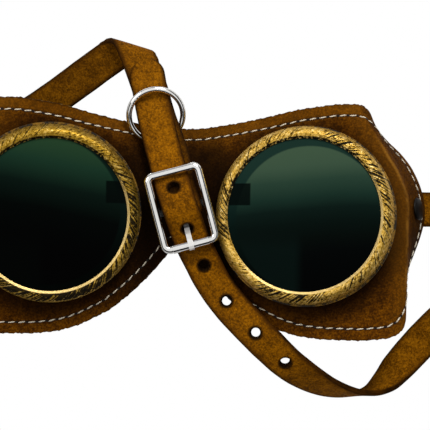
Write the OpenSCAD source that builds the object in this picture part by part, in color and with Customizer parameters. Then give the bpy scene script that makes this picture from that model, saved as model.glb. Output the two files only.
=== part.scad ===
/* [Cups] */
// Distance from the middle of the mask to the middle of each cup
cup_x = 41.6; // [40.5:0.1:43]
// Height of the right cup's seat on the leather above the table
cup_z_right = 20.5; // [20:0.1:22]
// Height of the left cup's seat on the leather above the table
cup_z_left = 21.5; // [21:0.1:23]
// Lean of the right cup up and down the mask, in degrees
lean_y_right = -3; // [-5:0.5:0]
// Lean of the right cup across the mask, in degrees
lean_x_right = -8; // [-10:0.5:-6]
// Lean of the left cup up and down the mask, in degrees
lean_y_left = 6.5; // [4:0.5:8]
// Lean of the left cup across the mask, in degrees
lean_x_left = 4; // [2:0.5:6]
// Inside radius of the eyecup's tube
tube_ri = 25.4; // [25:0.1:26]
// Wall of the eyecup's tube
tube_wall = 1.8; // [1.4:0.1:2.2]
// Height of the tube's front end above the leather
tube_front = 5; // [4:0.1:6]
// Depth of the tube behind the leather's face
tube_back = 11.4; // [11:0.1:12]
// Width of the eyecup's clamping flange beyond the tube
flange_w = 1.4; // [1.2:0.1:1.6]
// Thickness of the eyecup's clamping flange
flange_t = 1.5; // [1:0.1:2]
// Rim of the base ring that shows beyond the bezel
base_ring_rim = 0.5; // [0.3:0.05:0.7]
// Thickness of the base ring
base_ring_t = 1.6; // [1.2:0.1:2]
// Wall of the bezel round its thread
bezel_wall = 1.74; // [1.5:0.02:2]
// Width of the bezel's lip over the edge of the lens
lip_w = 2.11; // [1.7:0.01:2.5]
// Thickness of the bezel's lip over the lens
lip_t = 0.95; // [0.8:0.05:1.5]
// Groove between the base ring and the bezel
groove = 0.4; // [0.2:0.1:0.8]
// Radial clearance in the thread between bezel and eyecup
thread_gap = 0.06; // [0.03:0.01:0.1]
// Thickness of the lens
lens_t = 2; // [1.5:0.1:2.5]
// Radial gap round the lens inside the bezel
lens_gap = 0.35; // [0.2:0.05:0.5]
// Thickness of the gasket under the lens
gasket_t = 0.55; // [0.4:0.05:1]
// Small gap between faces that are pressed together
seat_gap = 0.04; // [0.02:0.01:0.08]

/* [Mask] */
// Thickness of the outer leather
leather_t = 2; // [1.6:0.1:2.4]
// Thickness of the suede lining
lining_t = 1; // [0.8:0.1:1.4]
// Gap between soft layers that lie on each other
layer_gap = 0.16; // [0.12:0.01:0.2]
// Gap between the lining and the straps that are riveted behind it
strap_gap = 1.2; // [1.15:0.05:1.3]
// Clearance of the leather's holes round a metal piece
hole_gap = 0.3; // [0.2:0.05:0.5]
// Radius of the bend where the mask turns into its side wings
wing_bend_r = 6; // [5.5:0.25:6.5]
// Length along the leather from the middle to where the wing's round end starts
wing_start = 84.5; // [83:0.5:86]
// Half height of the wing where its round end starts
wing_half = 22; // [21:0.5:23]
// Length of the wing's round end
wing_round = 10.5; // [10:0.5:11]
// Sag of the leather between the cups at the mask's top edge
nose_sag = 9; // [8.75:0.25:9.5]
// Sag of the leather between the cups at the height of the lenses' middle
bridge_sag = 0.25; // [0:0.25:0.5]

/* [Nose bridge] */
// Height of the bridge strip's middle above the lenses' middle
bridge_y = 7.2; // [5:0.2:9]
// Width of the bridge strip
bridge_w = 7.5; // [6:0.25:9]
// Thickness of the bridge strip
bridge_t = 1.5; // [1:0.1:2]
// Length of each end of the bridge strip inside its cup
bridge_end = 7; // [5:0.25:8]
// Depth of the bridge strip behind the leather's face at each cup
bridge_depth = 9; // [8.9:0.05:9.1]
// Free height of the window that the strip passes in each cup
window_h = 3.7; // [3.4:0.1:3.9]

/* [Straps] */
// Width of both straps
strap_w = 11.6; // [11:0.1:12]
// Thickness of the strap with the round tip
tip_t = 2; // [1.8:0.1:2.2]
// Thickness of the strap that holds the buckle
main_t = 1.8; // [1.6:0.1:2]
// Thickness of the buckle strap where it is pared down to fold round the bar
pared_t = 1.4; // [1.2:0.1:1.5]
// Radius of the strap holes
strap_hole_r = 2; // [1.8:0.05:2.1]
// Distance from one strap hole to the next
hole_pitch = 14; // [13:0.25:15]
// Number of strap holes between the tip and the buckle's prong
holes_above = 1; // [1:1:2]
// Number of strap holes below the prong
holes_below = 4; // [3:1:4]
// Slope of the straps between the buckle and the keeper, in degrees
strap_slope = 10.5; // [10:0.5:11]
// Distance from the buckle's middle bar to the round tip
tip_reach = 50.2; // [48:0.2:52]
// Distance from the middle bar to the fold of the buckle strap
fold_reach = 51.6; // [51:0.2:53]
// Bend radius of that fold, at the middle of the leather
fold_r = 3; // [2.6:0.1:3.4]

/* [Buckle] */
// Middle of the buckle across the mask
buckle_x = 1.1; // [0.5:0.1:1.5]
// Middle of the buckle up the mask
buckle_y = 2; // [1.5:0.1:2.5]
// Height of the buckle's middle bar above the table
buckle_z = 25.4; // [25.2:0.1:26]
// Direction from the middle bar to the roller, in degrees
buckle_turn = -74.4; // [-76:0.2:-73]
// Distance from the middle bar to each end bar
bar_reach = 12.2; // [12:0.1:12.6]
// Height of the end bars above the middle bar
bar_rise = 2.4; // [2.2:0.1:2.6]
// Radius of the frame's wire
wire_r = 1.3; // [1.2:0.05:1.4]
// Radius of the middle bar
mid_bar_r = 1.1; // [1:0.05:1.15]
// Inside width of the buckle
inside_w = 14.2; // [14:0.1:14.6]
// Bend radius of the frame's corners, at the middle of the wire
corner_r = 1.9; // [1.6:0.1:2.4]
// Radius of the bar inside the roller
roller_bar_r = 0.9; // [0.8:0.05:1]
// Outside radius of the roller
roller_r = 1.5; // [1.4:0.05:1.6]
// Length of the roller
roller_l = 12; // [11.6:0.1:12.2]
// Radial running clearance of the roller and of the prong's eye
run_gap = 0.06; // [0.04:0.01:0.09]
// End clearance of the roller
end_gap = 0.12; // [0.05:0.01:0.2]
// Wall of the prong's eye round the middle bar
eye_wall = 0.9; // [0.8:0.05:1]
// Width of the prong
prong_w = 1.7; // [1.4:0.1:2]
// Height of the prong's blade
prong_h = 1.35; // [1.2:0.05:1.4]
// Distance from the middle bar to the strap hole that the prong fills
prong_hole_reach = 6.5; // [6.3:0.1:6.7]

/* [Keeper] */
// Radius of the keeper ring at the middle of its wire
keeper_r = 8.8; // [8.8:0.05:9.2]
// Radius of the keeper's wire
keeper_wire_r = 0.95; // [0.85:0.05:1]
// Distance from the buckle's middle bar to the middle of the keeper
keeper_reach = 31.5; // [31:0.1:32]
// Lean of the keeper against the straps, in degrees
keeper_lean = 31.5; // [31:0.5:34]

/* [Rivets] */
// Distance along the leather from the middle of the mask to the rivets
rivet_t = 86; // [85.5:0.25:86.5]
// Height of the rivets above the lenses' middle
rivet_y = 3; // [2:0.5:4]
// Radius of the black cap
cap_r = 3.75; // [3.4:0.05:4]
// Height of the cap's dome
cap_h = 1.7; // [1.4:0.1:2]
// Radius of the cap's stem
stem_r = 1.6; // [1.4:0.05:1.8]
// Radius of the post inside the stem
post_r = 1; // [0.8:0.05:1.1]
// Radius of the post's head
head_r = 2.8; // [2.6:0.1:3]
// Thickness of the post's head
head_t = 0.7; // [0.5:0.05:1]
// Distance from the middle bar to the rivet in the buckle strap's fold
fold_rivet_reach = 16.6; // [16.4:0.1:17]

/* [Hidden] */
$fn = 96;

// The stack of each cup, counted along its own axis from the leather's face
tube_ro = tube_ri + tube_wall;
bezel_bottom = base_ring_t + groove;
gasket_z = tube_front + seat_gap;
lens_z = gasket_z + gasket_t + seat_gap;
lip_z = lens_z + lens_t + 2 * seat_gap;
bezel_top = lip_z + lip_t;
bezel_bore = tube_ro + thread_gap;
bezel_r = bezel_bore + bezel_wall;
base_ring_r = bezel_r + base_ring_rim;
flange_r = tube_ro + flange_w;
lens_r = bezel_bore - lens_gap;
opening_r = lens_r - lip_w;
lining_face = leather_t + layer_gap;
mask_back = lining_face + lining_t;
hole_r = tube_ro + hole_gap;
clamp_r = base_ring_r + 2;
flange_gap = 2 * layer_gap;

// Small vector helpers
function unit(v) = v / norm(v);
function mix(a, b, k) = a + (b - a) * k;
function clamp(v, low, high) = max(low, min(high, v));
function ease(k) = k * k * (3 - 2 * k);
function curve(a, b, c, d, k) = (2 * b + (c - a) * k + (2 * a - 5 * b + 4 * c - d) * k * k
  + (3 * b - a - 3 * c + d) * k * k * k) / 2;

// The slopes of the leather under each cup
slope_x_right = -tan(lean_x_right);
slope_y_right = tan(lean_y_right) / cos(lean_x_right);
slope_x_left = -tan(lean_x_left);
slope_y_left = tan(lean_y_left) / cos(lean_x_left);

// The mask's cut outline: length along the leather, then the height of its edge
top_edge = [
  [0, 28.4], [7, 28.5], [20, 30.6], [29, 32.5], [39, 35], [51, 36.8], [58, 36.9],
  [61.5, 36.3], [66, 33.5], [72, 30], [wing_start, wing_half]
];
bottom_edge = [
  [0, -10.2], [2, -11.4], [4.3, -14.4], [9, -20], [15, -26], [22, -31.8], [32, -36.9],
  [39, -39], [47, -39.9], [60, -40], [69, -39], [74, -36.5], [79, -30.5], [wing_start, -wing_half]
];
// Where the wing's bend starts, and how far it turns, at each height
bend_start = [
  [-40, 68.6], [-20, 68.9], [-5, 69.4], [2, 69.2], [8, 68.4],
  [14, 66.7], [20, 63.9], [27, 59.7], [36, 55.6]
];
bend_turn = [[-40, 98], [-20, 86], [-10, 73], [0, 66.5], [10, 65], [20, 67], [27, 79], [36, 95]];

// The edge lines as they run from the middle out to the wing's round end
function edge_y(s, g) =
  let (a = abs(s))
  a < wing_start
    ? mix(lookup(a, bottom_edge), lookup(a, top_edge), g)
    : mix(-wing_half, wing_half, g);

// Half width of the soft stretch between the two flat seats
function blend_half(y) = cup_x - sqrt(max(clamp_r * clamp_r - y * y, 64));

// Height of the leather's face before the wings are turned down
function panel_z(x, y) =
  let (
    half = blend_half(y),
    k = clamp((x + half) / (2 * half), 0, 1),
    left = cup_z_left + slope_x_left * (x + cup_x) + slope_y_left * y,
    right = cup_z_right + slope_x_right * (x - cup_x) + slope_y_right * y,
    sag = mix(bridge_sag, nose_sag, pow(clamp(y / top_edge[0][1], 0, 1), 1.5)),
    dip = abs(x) < half ? sag * pow(1 - pow(x / half, 2), 1.5) : 0
  )
  mix(left, right, ease(k)) - dip;

// The face of the leather, from the length along it and the height
function face(s, y) =
  let (
    side = s < 0 ? -1 : 1,
    start = lookup(y, bend_start),
    turn = lookup(y, bend_turn),
    over = max(abs(s) - start, 0),
    angle = min(over / wing_bend_r * 180 / PI, turn),
    rest = over - angle * PI / 180 * wing_bend_r,
    x = side * (min(abs(s), start) + wing_bend_r * sin(angle) + rest * cos(turn)),
    drop = wing_bend_r * (1 - cos(angle)) + rest * sin(turn)
  )
  [x, y, panel_z(x, y) - drop];

function face_normal(s, y) =
  let (e = 0.15)
  unit(cross(face(s + e, y) - face(s - e, y), face(s, y + e) - face(s, y - e)));

function under_face(s, y, depth) = face(s, y) - depth * face_normal(s, y);

// The leather's grid: columns along the leather, rows from the lower edge to the upper
half_columns = [2, 4.5, 7.5, 11, 15, 20, 26, 33, 40, 47, 53, 58];
bend_steps = 4;
wing_steps = 4;
rows = 13;
columns = len(half_columns) + bend_steps + 1 + wing_steps;
function row_share(j) = mix(j / rows, (1 - cos(180 * j / rows)) / 2, 0.35);
function wing_end(g) = wing_start + wing_round * (1 - pow(abs(2 * g - 1), 1.6));
function column_s(i, g) =
  let (
    a = abs(i),
    side = i < 0 ? -1 : 1,
    inner = len(half_columns),
    y = edge_y(66, g),
    first = max(lookup(y, bend_start), half_columns[inner - 1] + 0.5),
    last = first + wing_bend_r * lookup(y, bend_turn) * PI / 180
  )
  side * (a == 0 ? 0
    : a <= inner ? half_columns[a - 1]
    : a <= inner + 1 + bend_steps ? mix(first, last, (a - inner - 1) / bend_steps)
    : mix(last, wing_end(g), (a - inner - 1 - bend_steps) / wing_steps));

function sheet_point(i, j, depth) =
  let (g = row_share(j), s = column_s(i, g))
  under_face(s, edge_y(s, g), depth);

// A closed sheet that follows the leather between two depths
module sheet(depth, thickness) {
  across = 2 * columns + 1;
  up = rows + 1;
  count = across * up;
  points = [
    for (d = [depth, depth + thickness], i = [-columns:columns], j = [0:rows]) sheet_point(i, j, d)
  ];
  front = [
    for (i = [0:across - 2], j = [0:rows - 1])
      let (a = i * up + j, b = a + up)
      each (i < columns) == (j < rows / 2)
        ? [[a, a + 1, b + 1], [a, b + 1, b]]
        : [[a, a + 1, b], [a + 1, b + 1, b]]
  ];
  back = [for (f = front) [f[2] + count, f[1] + count, f[0] + count]];
  rim = concat(
    [for (i = [0:across - 1]) i * up],
    [for (j = [1:rows]) (across - 1) * up + j],
    [for (i = [across - 2:-1:0]) i * up + rows],
    [for (j = [rows - 1:-1:1]) j]
  );
  wall = [
    for (k = [0:len(rim) - 1])
      let (a = rim[k], b = rim[(k + 1) % len(rim)])
      each [[a, b, b + count], [a, b + count, a + count]]
  ];
  polyhedron(concat(points), concat(front, back, wall));
}

// Placing frames
module at_cup(side) {
  translate([side * cup_x, 0, side > 0 ? cup_z_right : cup_z_left])
    rotate([side > 0 ? lean_y_right : lean_y_left, side > 0 ? lean_x_right : lean_x_left, 0])
      children();
}

module framed(origin, x_axis, y_axis, z_axis) {
  multmatrix([
    [x_axis[0], y_axis[0], z_axis[0], origin[0]],
    [x_axis[1], y_axis[1], z_axis[1], origin[1]],
    [x_axis[2], y_axis[2], z_axis[2], origin[2]]
  ])
    children();
}

module at_rivet(side) {
  s = side * rivet_t;
  up = unit(face(s, rivet_y + 1) - face(s, rivet_y - 1));
  out = face_normal(s, rivet_y);
  framed(face(s, rivet_y), unit(cross(up, out)), up, out)
    children();
}

module at_buckle() {
  translate([buckle_x, buckle_y, buckle_z])
    rotate([0, 0, buckle_turn])
      children();
}

// Straps are ribbons. A station is x, y, z, the azimuth and elevation of the line
// across the strap towards its first edge, and the thickness.
buckle_u = [cos(buckle_turn), sin(buckle_turn)];
buckle_c = [-sin(buckle_turn), cos(buckle_turn)];
across_az = buckle_turn + 90;
function on_buckle(u, c, v, t) = [
  buckle_x + u * buckle_u[0] + c * buckle_c[0],
  buckle_y + u * buckle_u[1] + c * buckle_c[1],
  buckle_z + v, across_az, 0, t
];
// A station behind the leather of a wing, the strap running along ds, dy on the leather
function wing_station(s, y, ds, dy, depth, sign, t) =
  let (
    p = under_face(s, y, depth),
    w = unit(cross(face_normal(s, y), face(s + ds, y + dy) - face(s - ds, y - dy))) * sign
  )
  [p[0], p[1], p[2], atan2(w[1], w[0]), asin(w[2]), t];

function smooth_run(list, steps) =
  let (stations = [for (q = list) spread(q)], last = len(stations) - 1)
  concat(
    [
      for (i = [0:last - 1], k = [0:steps - 1])
        curve(stations[max(i - 1, 0)], stations[i], stations[i + 1], stations[min(i + 2, last)], k / steps)
    ],
    [stations[last]]
  );

function place(q) = [q[0], q[1], q[2]];
function across(q) = unit([q[3], q[4], q[5]]);
function spread(q) = [q[0], q[1], q[2], cos(q[4]) * cos(q[3]), cos(q[4]) * sin(q[3]), sin(q[4]), q[5]];
function along(run, i) = unit(place(run[min(i + 1, len(run) - 1)]) - place(run[max(i - 1, 0)]));
function lengths(run, i = 0, sum = 0) =
  i == len(run) - 1 ? [sum]
  : concat([sum], lengths(run, i + 1, sum + norm(place(run[i + 1]) - place(run[i]))));

// Half width at a length from the end, with a round tip where the radius is over zero
function half_width(length, tip) =
  tip > 0 && length < tip ? sqrt(max(tip * tip - pow(tip - length, 2), 0.04)) * strap_w / 2 / tip : strap_w / 2;

module ribbon(run, tip = 0) {
  far = lengths(run);
  last = len(run) - 1;
  corners = [
    for (i = [0:last])
      let (
        t = along(run, i),
        w = across(run[i]),
        n = unit(cross(t, w)),
        reach = half_width(far[i], tip) / sqrt(1 - pow(t * w, 2)),
        c = place(run[i]),
        h = run[i][6] / 2
      )
      each [c - w * reach - n * h, c + w * reach - n * h, c + w * reach + n * h, c - w * reach + n * h]
  ];
  sides = [
    for (i = [0:last - 1], k = [0:3])
      let (a = 4 * i + k, b = 4 * i + (k + 1) % 4)
      each [[a, b, b + 4], [a, b + 4, a + 4]]
  ];
  ends = [[0, 2, 1], [0, 3, 2], [4 * last, 4 * last + 1, 4 * last + 2], [4 * last, 4 * last + 2, 4 * last + 3]];
  polyhedron(corners, concat(sides, ends));
}

// The last ring of a run before a given length
function ring_before(far, length, i = 0) =
  i + 2 >= len(far) || far[i + 1] >= length ? i : ring_before(far, length, i + 1);

module at_length(run, length) {
  far = lengths(run);
  i = ring_before(far, length);
  k = (length - far[i]) / (far[i + 1] - far[i]);
  t = unit(place(run[i + 1]) - place(run[i]));
  w = unit(cross(unit(cross(t, across(run[i]))), t));
  framed(mix(place(run[i]), place(run[i + 1]), k), t, w, cross(t, w))
    children();
}

// Heights of the strap layers in the buckle's own frame
roller_room = bar_rise - roller_r - 0.1;
wrap_gap = 0.22;
fold_out = mid_bar_r + wrap_gap + pared_t;
crown = fold_out + 0.1 + tip_t / 2;
tip_low = roller_room - 0.2 - tip_t / 2;
main_low = tip_low - tip_t / 2 - 0.1 - main_t / 2;
back_low = main_low - main_t / 2 - 0.1 - pared_t / 2;
function sloped(v, u) = v + (u + bar_reach) * tan(strap_slope);

// A station of a strap that heads somewhere and has rolled over by some degrees
function rolled(x, y, z, heading, roll, t) =
  let (w = [-sin(heading) * cos(roll), cos(heading) * cos(roll), -sin(roll)])
  [x, y, z, atan2(w[1], w[0]), asin(w[2]), t];

// Round tip first, then the buckle, the lower loop, the loop at the side and the right wing
right_depth = mask_back + strap_gap + tip_t / 2;
left_depth = mask_back + strap_gap + main_t / 2;
wing_out = face(wing_start + wing_round, rivet_y);
tip_stations = [
  on_buckle(-tip_reach, 0.2, sloped(tip_low, -tip_reach), tip_t),
  on_buckle(-tip_reach + 0.5, 0.2, sloped(tip_low, -tip_reach + 0.5), tip_t),
  on_buckle(-tip_reach + 1.9, 0.1, sloped(tip_low, -tip_reach + 1.9), tip_t),
  on_buckle(-45.8, 0, sloped(tip_low, -45.8), tip_t),
  on_buckle(-43, -0.2, sloped(tip_low, -43), tip_t),
  on_buckle(-38, -0.5, sloped(tip_low, -38), tip_t),
  on_buckle(-31, -0.9, sloped(tip_low, -31), tip_t),
  on_buckle(-24, -1, sloped(tip_low, -24), tip_t),
  on_buckle(-17.5, -1, sloped(tip_low, -17.5), tip_t),
  on_buckle(-bar_reach, -0.95, tip_low, tip_t),
  on_buckle(-7.6, -0.85, mix(tip_low, crown, 0.4), tip_t),
  on_buckle(-3.4, -0.6, mix(tip_low, crown, 0.87), tip_t),
  on_buckle(0, -0.4, crown, tip_t),
  on_buckle(3.4, -0.1, mix(tip_low, crown, 0.87), tip_t),
  on_buckle(7.6, 0.2, mix(tip_low, crown, 0.4), tip_t),
  on_buckle(bar_reach, 0.7, tip_low, tip_t),
  [8.1, -15.4, 23.3, 24, 0, tip_t],
  [11, -20.8, 22.2, 29, 0, tip_t],
  [14.6, -26, 21.8, 35, 1, tip_t],
  [19.3, -31.5, 22.1, 40, 3, tip_t],
  [24.6, -36.9, 22.8, 43, 6, tip_t],
  [30.2, -42.3, 22.3, 44, 11, tip_t],
  [36.6, -48.2, 19.6, 43, 21, tip_t],
  [43.9, -53.3, 15.4, 40, 35, tip_t],
  [50.9, -56.8, 11, 37, 50, tip_t],
  [58.1, -58.5, 8, 30, 66, tip_t],
  [64.4, -58, 6.7, -7, 77, tip_t],
  [68.8, -54.9, 6.2, -56, 59, tip_t],
  [73, -50.6, 5, -58, 38, tip_t],
  [78.1, -45.2, 3.6, -57, 19, tip_t],
  [82.8, -40.1, 3, -52, 15, tip_t],
  [90, -32.2, 4.2, -52, 32, tip_t],
  [99, -24.4, 6, -60, 65, tip_t],
  [110, -19.4, 6.6, -75, 85, tip_t],
  [123, -16.6, 6.6, -80, 88, tip_t],
  [133.5, -10, 6.6, -85, 88, tip_t],
  [135.5, 1.5, 6.6, -90, 88, tip_t],
  [127, 10, 6.6, -90, 85, tip_t],
  [115, 11.4, 6.2, -92, 68, tip_t],
  [104.5, 8.2, 4.6, -95, 38, tip_t],
  [97, 5, 2.4, -94, 13, tip_t],
  [91.5, rivet_y + 0.3, 1.3, -88, 2, tip_t],
  [wing_out[0] + 2, rivet_y, 1.2, -85, 0, tip_t],
  [wing_out[0] - 3, rivet_y, 1.5, -82, 0, tip_t],
  wing_station(rivet_t + 5, rivet_y, -1, 0, right_depth + 0.25, 1, tip_t),
  wing_station(rivet_t, rivet_y, -1, 0, right_depth, 1, tip_t),
  wing_station(rivet_t - 5.6, rivet_y, -1, 0, right_depth, 1, tip_t)
];
tip_run = smooth_run(tip_stations, 2);

// How far a point lies from the middle bar towards the roller
function reach_of(q) = (q[0] - buckle_x) * buckle_u[0] + (q[1] - buckle_y) * buckle_u[1];
tip_far = lengths(tip_run);
prong_ring = [for (i = [0:len(tip_run) - 2]) if (reach_of(tip_run[i]) < prong_hole_reach
  && reach_of(tip_run[i + 1]) >= prong_hole_reach) i][0];
prong_share = (prong_hole_reach - reach_of(tip_run[prong_ring]))
  / (reach_of(tip_run[prong_ring + 1]) - reach_of(tip_run[prong_ring]));
prong_length = mix(tip_far[prong_ring], tip_far[prong_ring + 1], prong_share);
rivet_length = tip_far[len(tip_far) - 3];

// The fold of the buckle strap: a half turn round a line at a slant to the strap
fold_axis_az = 164;
fold_slant = 51.4;
fold_top = on_buckle(-fold_reach, -1.4, sloped(main_low, -fold_reach) - 0.9, main_t);
function fold_station(turn) =
  let (
    axis = [cos(fold_axis_az), sin(fold_axis_az)],
    out = [sin(fold_axis_az), -cos(fold_axis_az)],
    slide = fold_r * turn * PI / 180 / tan(fold_slant)
  )
  [
    fold_top[0] + axis[0] * slide + out[0] * fold_r * sin(turn),
    fold_top[1] + axis[1] * slide + out[1] * fold_r * sin(turn),
    fold_top[2] - fold_r * (1 - cos(turn)), fold_axis_az - 180, 0, main_t
  ];
bar_wrap_r = mid_bar_r + wrap_gap + pared_t / 2;
function wrap_station(angle) = on_buckle(bar_wrap_r * cos(angle), 0.7, bar_wrap_r * sin(angle), pared_t);

// The pared end under the bar first, then the upper layer, the fold and the left wing
bar_stations = concat(
  [
    on_buckle(-20, 0.6, sloped(back_low, -20), pared_t),
    on_buckle(-16, 0.6, sloped(back_low, -16), pared_t),
    on_buckle(-bar_reach + 0.4, 0.6, back_low + 0.1, pared_t),
    on_buckle(-7.5, 0.7, mix(back_low, -bar_wrap_r, 0.45), pared_t),
    on_buckle(-3.4, 0.7, mix(back_low, -bar_wrap_r, 0.88), pared_t)
  ],
  [for (angle = [-90:30:90]) wrap_station(angle)],
  [
    on_buckle(-3, 0.7, mix(main_low, bar_wrap_r, 0.72), pared_t),
    on_buckle(-7.4, 0.7, mix(main_low, bar_wrap_r, 0.28), pared_t + 0.2)
  ]
);
upper_stations = [
  on_buckle(-bar_reach, 0.8, main_low, main_t),
  on_buckle(-17.5, 1.1, sloped(main_low, -17.5), main_t),
  on_buckle(-24, 0.5, sloped(main_low, -24), main_t),
  on_buckle(-31, -0.1, sloped(main_low, -31), main_t),
  on_buckle(-38, -0.2, sloped(main_low, -38), main_t),
  on_buckle(-44, -0.6, sloped(main_low, -44) - 0.4, main_t) - [0, 0, 0, 6, 0, 0],
  on_buckle(-48.5, -1, sloped(main_low, -48.5) - 0.75, main_t) - [0, 0, 0, 20, 0, 0]
];
run_az = 215.5;
// A point on the line that the strap follows under the mask
function under_run(k) = [
  fold_station(180)[0] + k * cos(run_az), fold_station(180)[1] + k * sin(run_az)
];
lower_stations = [
  [under_run(8)[0], under_run(8)[1], 8, -40, 0, main_t],
  [under_run(18)[0], under_run(18)[1], 5, -53, 0, main_t],
  [under_run(29)[0], under_run(29)[1], 2.4, -54.5, 0, main_t],
  rolled(-53.9, 30.4, 1.9, 216, 8, main_t),
  rolled(-59, 25.6, 3.6, 220, 26, main_t),
  rolled(-62.8, 20.4, 4.9, 226, 43, main_t),
  rolled(-66.8, 15.4, 6, 234, 66, main_t),
  rolled(-70.9, 10.6, 6.9, 244, 91, main_t)
];
left_stations = [
  wing_station(-(rivet_t + 2), rivet_y + 4.6, 1, -2.6, left_depth + 0.3, -1, main_t),
  wing_station(-rivet_t, rivet_y, 1, -2.6, left_depth, -1, main_t),
  wing_station(-(rivet_t - 2), rivet_y - 5.2, 1, -2.6, left_depth + 0.1, -1, main_t)
];
buckle_stations = concat(
  bar_stations, upper_stations,
  [for (turn = [0:30:180]) fold_station(turn)],
  lower_stations, left_stations
);
buckle_run = smooth_run(buckle_stations, 2);

// Outer leather of the mask with its two side wings
module mask_leather() {
  color("saddlebrown")
    difference() {
      sheet(0, leather_t);
      for (side = [-1, 1]) {
        at_cup(side)
          cylinder(r = hole_r, h = 40, center = true);
        at_rivet(side)
          cylinder(r = stem_r + hole_gap / 2, h = 12, center = true);
      }
    }
}

// Suede lining on the face side of the mask
module mask_lining() {
  color("peru")
    difference() {
      sheet(lining_face, lining_t);
      for (side = [-1, 1]) {
        at_cup(side)
          cylinder(r = hole_r, h = 40, center = true);
        at_rivet(side)
          cylinder(r = stem_r + hole_gap / 2, h = 12, center = true);
      }
    }
}

// Black cup with a thread in front, a flange behind the lining and a window for the bridge
module eyecup(side) {
  color("dimgray")
    difference() {
      at_cup(side)
        rotate_extrude()
          polygon([
            [tube_ri, -tube_back], [tube_ro, -tube_back],
            [tube_ro, -mask_back - flange_gap - flange_t], [flange_r, -mask_back - flange_gap - flange_t],
            [flange_r, -mask_back - flange_gap], [tube_ro, -mask_back - flange_gap],
            [tube_ro, tube_front], [tube_ri, tube_front]
          ]);
      at_cup(side)
        translate([-side * (tube_ri + tube_wall / 2), bridge_y, -bridge_depth])
          cube([4 * tube_wall, bridge_w + 1.6, window_h], center = true);
    }
}

// Plain ring in front of the leather
module base_ring(side) {
  color("darkgoldenrod")
    at_cup(side)
      difference() {
        translate([0, 0, seat_gap])
          cylinder(r = base_ring_r, h = base_ring_t - seat_gap);
        translate([0, 0, -1])
          cylinder(r = tube_ro + 0.15, h = base_ring_t + 2);
      }
}

// Rounded outside of the bezel, from its side wall up to its lip
bezel_shoulder = bezel_bottom + 2.4;
bezel_crest = bezel_r - 2.6;
bezel_round = [
  for (a = [0:15:90])
    [bezel_crest + (bezel_r - bezel_crest) * cos(a), bezel_shoulder + (bezel_top - bezel_shoulder) * sin(a)]
];

// Round antiqued ring that screws onto the eyecup and holds the lens
module bezel(side) {
  color("goldenrod")
    at_cup(side)
      rotate_extrude()
        polygon(concat(
          [[bezel_bore, bezel_bottom], [bezel_r - 0.3, bezel_bottom], [bezel_r, bezel_bottom + 0.4]],
          bezel_round,
          [
            [opening_r + 0.7, bezel_top - 0.12], [opening_r, bezel_top - 0.6],
            [opening_r, lip_z], [bezel_bore, lip_z]
          ]
        ));
}

// Flat disc of dark green glass
module lens(side) {
  color([0.05, 0.16, 0.12, 0.85])
    at_cup(side)
      translate([0, 0, lens_z])
        cylinder(r = lens_r, h = lens_t);
}

// Thin rubber ring between the eyecup and the lens
module lens_gasket(side) {
  color("black")
    at_cup(side)
      translate([0, 0, gasket_z])
        difference() {
          cylinder(r = lens_r, h = gasket_t);
          translate([0, 0, -1])
            cylinder(r = tube_ri, h = gasket_t + 2);
        }
}

// Black strip that ties the two cups behind the nose
// A point given in a cup's own frame
function cup_point(side, x, y, z) =
  let (
    a = side > 0 ? lean_y_right : lean_y_left,
    b = side > 0 ? lean_x_right : lean_x_left,
    depth = y * sin(a) + z * cos(a)
  )
  [
    side * cup_x + x * cos(b) + depth * sin(b), y * cos(a) - z * sin(a),
    (side > 0 ? cup_z_right : cup_z_left) - x * sin(b) + depth * cos(b)
  ];
bridge_left = cup_point(-1, tube_ri, bridge_y, -bridge_depth);
bridge_right = cup_point(1, -tube_ri, bridge_y, -bridge_depth);

module nose_bridge() {
  run = unit(bridge_right - bridge_left);
  tilt = (lean_y_left + lean_y_right) / 2;
  face_up = unit(cross(run, [0, cos(tilt), sin(tilt)]));
  color("#202020")
    framed((bridge_left + bridge_right) / 2, run, cross(face_up, run), face_up)
      cube([norm(bridge_right - bridge_left) + 2 * bridge_end, bridge_w, bridge_t], center = true);
}

// Strap with the round tip and the row of holes
module tip_strap() {
  color("darkgoldenrod")
    difference() {
      ribbon(tip_run, strap_w / 2);
      for (k = [-holes_above:holes_below])
        at_length(tip_run, prong_length + k * hole_pitch)
          cylinder(r = strap_hole_r, h = 3 * tip_t, center = true);
      at_rivet(1)
        cylinder(r = stem_r + hole_gap / 2, h = 7 * mask_back, center = true);
    }
}

// Strap that folds round the buckle's middle bar
module buckle_strap() {
  slot_w = prong_w + 1.2;
  color("sienna")
    difference() {
      ribbon(buckle_run);
      at_buckle()
        translate([-4, -slot_w / 2, -fold_out - 1])
          cube([4 + fold_out + 1, slot_w, 2 * fold_out + 2]);
      at_fold_rivet() {
        translate([0, 0, -8])
          cylinder(r = fold_rivet_r + 0.1, h = 10);
        translate([0, 0, main_t / 2 - 0.6])
          cylinder(r = fold_rivet_head + 0.1, h = 3);
      }
      at_rivet(-1)
        cylinder(r = stem_r + hole_gap / 2, h = 7 * mask_back, center = true);
    }
}
fold_rivet_r = 1.2;
fold_rivet_head = 2.3;

module at_fold_rivet() {
  at_buckle()
    translate([-fold_rivet_reach, 0.6, sloped(main_low, -fold_rivet_reach)])
      rotate([0, -strap_slope, 0])
        children();
}

// Flat rivet through the two layers of the buckle strap
module fold_rivet() {
  depth = main_t / 2 + 0.1 + pared_t;
  color("silver")
    at_fold_rivet() {
      translate([0, 0, -depth - 0.1])
        cylinder(r = fold_rivet_r, h = depth + main_t / 2);
      translate([0, 0, main_t / 2 - 0.55])
        cylinder(r = fold_rivet_head, h = 0.5);
      translate([0, 0, -depth - 0.6])
        cylinder(r = fold_rivet_head, h = 0.5);
    }
}

// Straight bar of the buckle frame between two corners
module bar(length, radius) {
  cylinder(r = radius, h = length, center = true);
}

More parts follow.
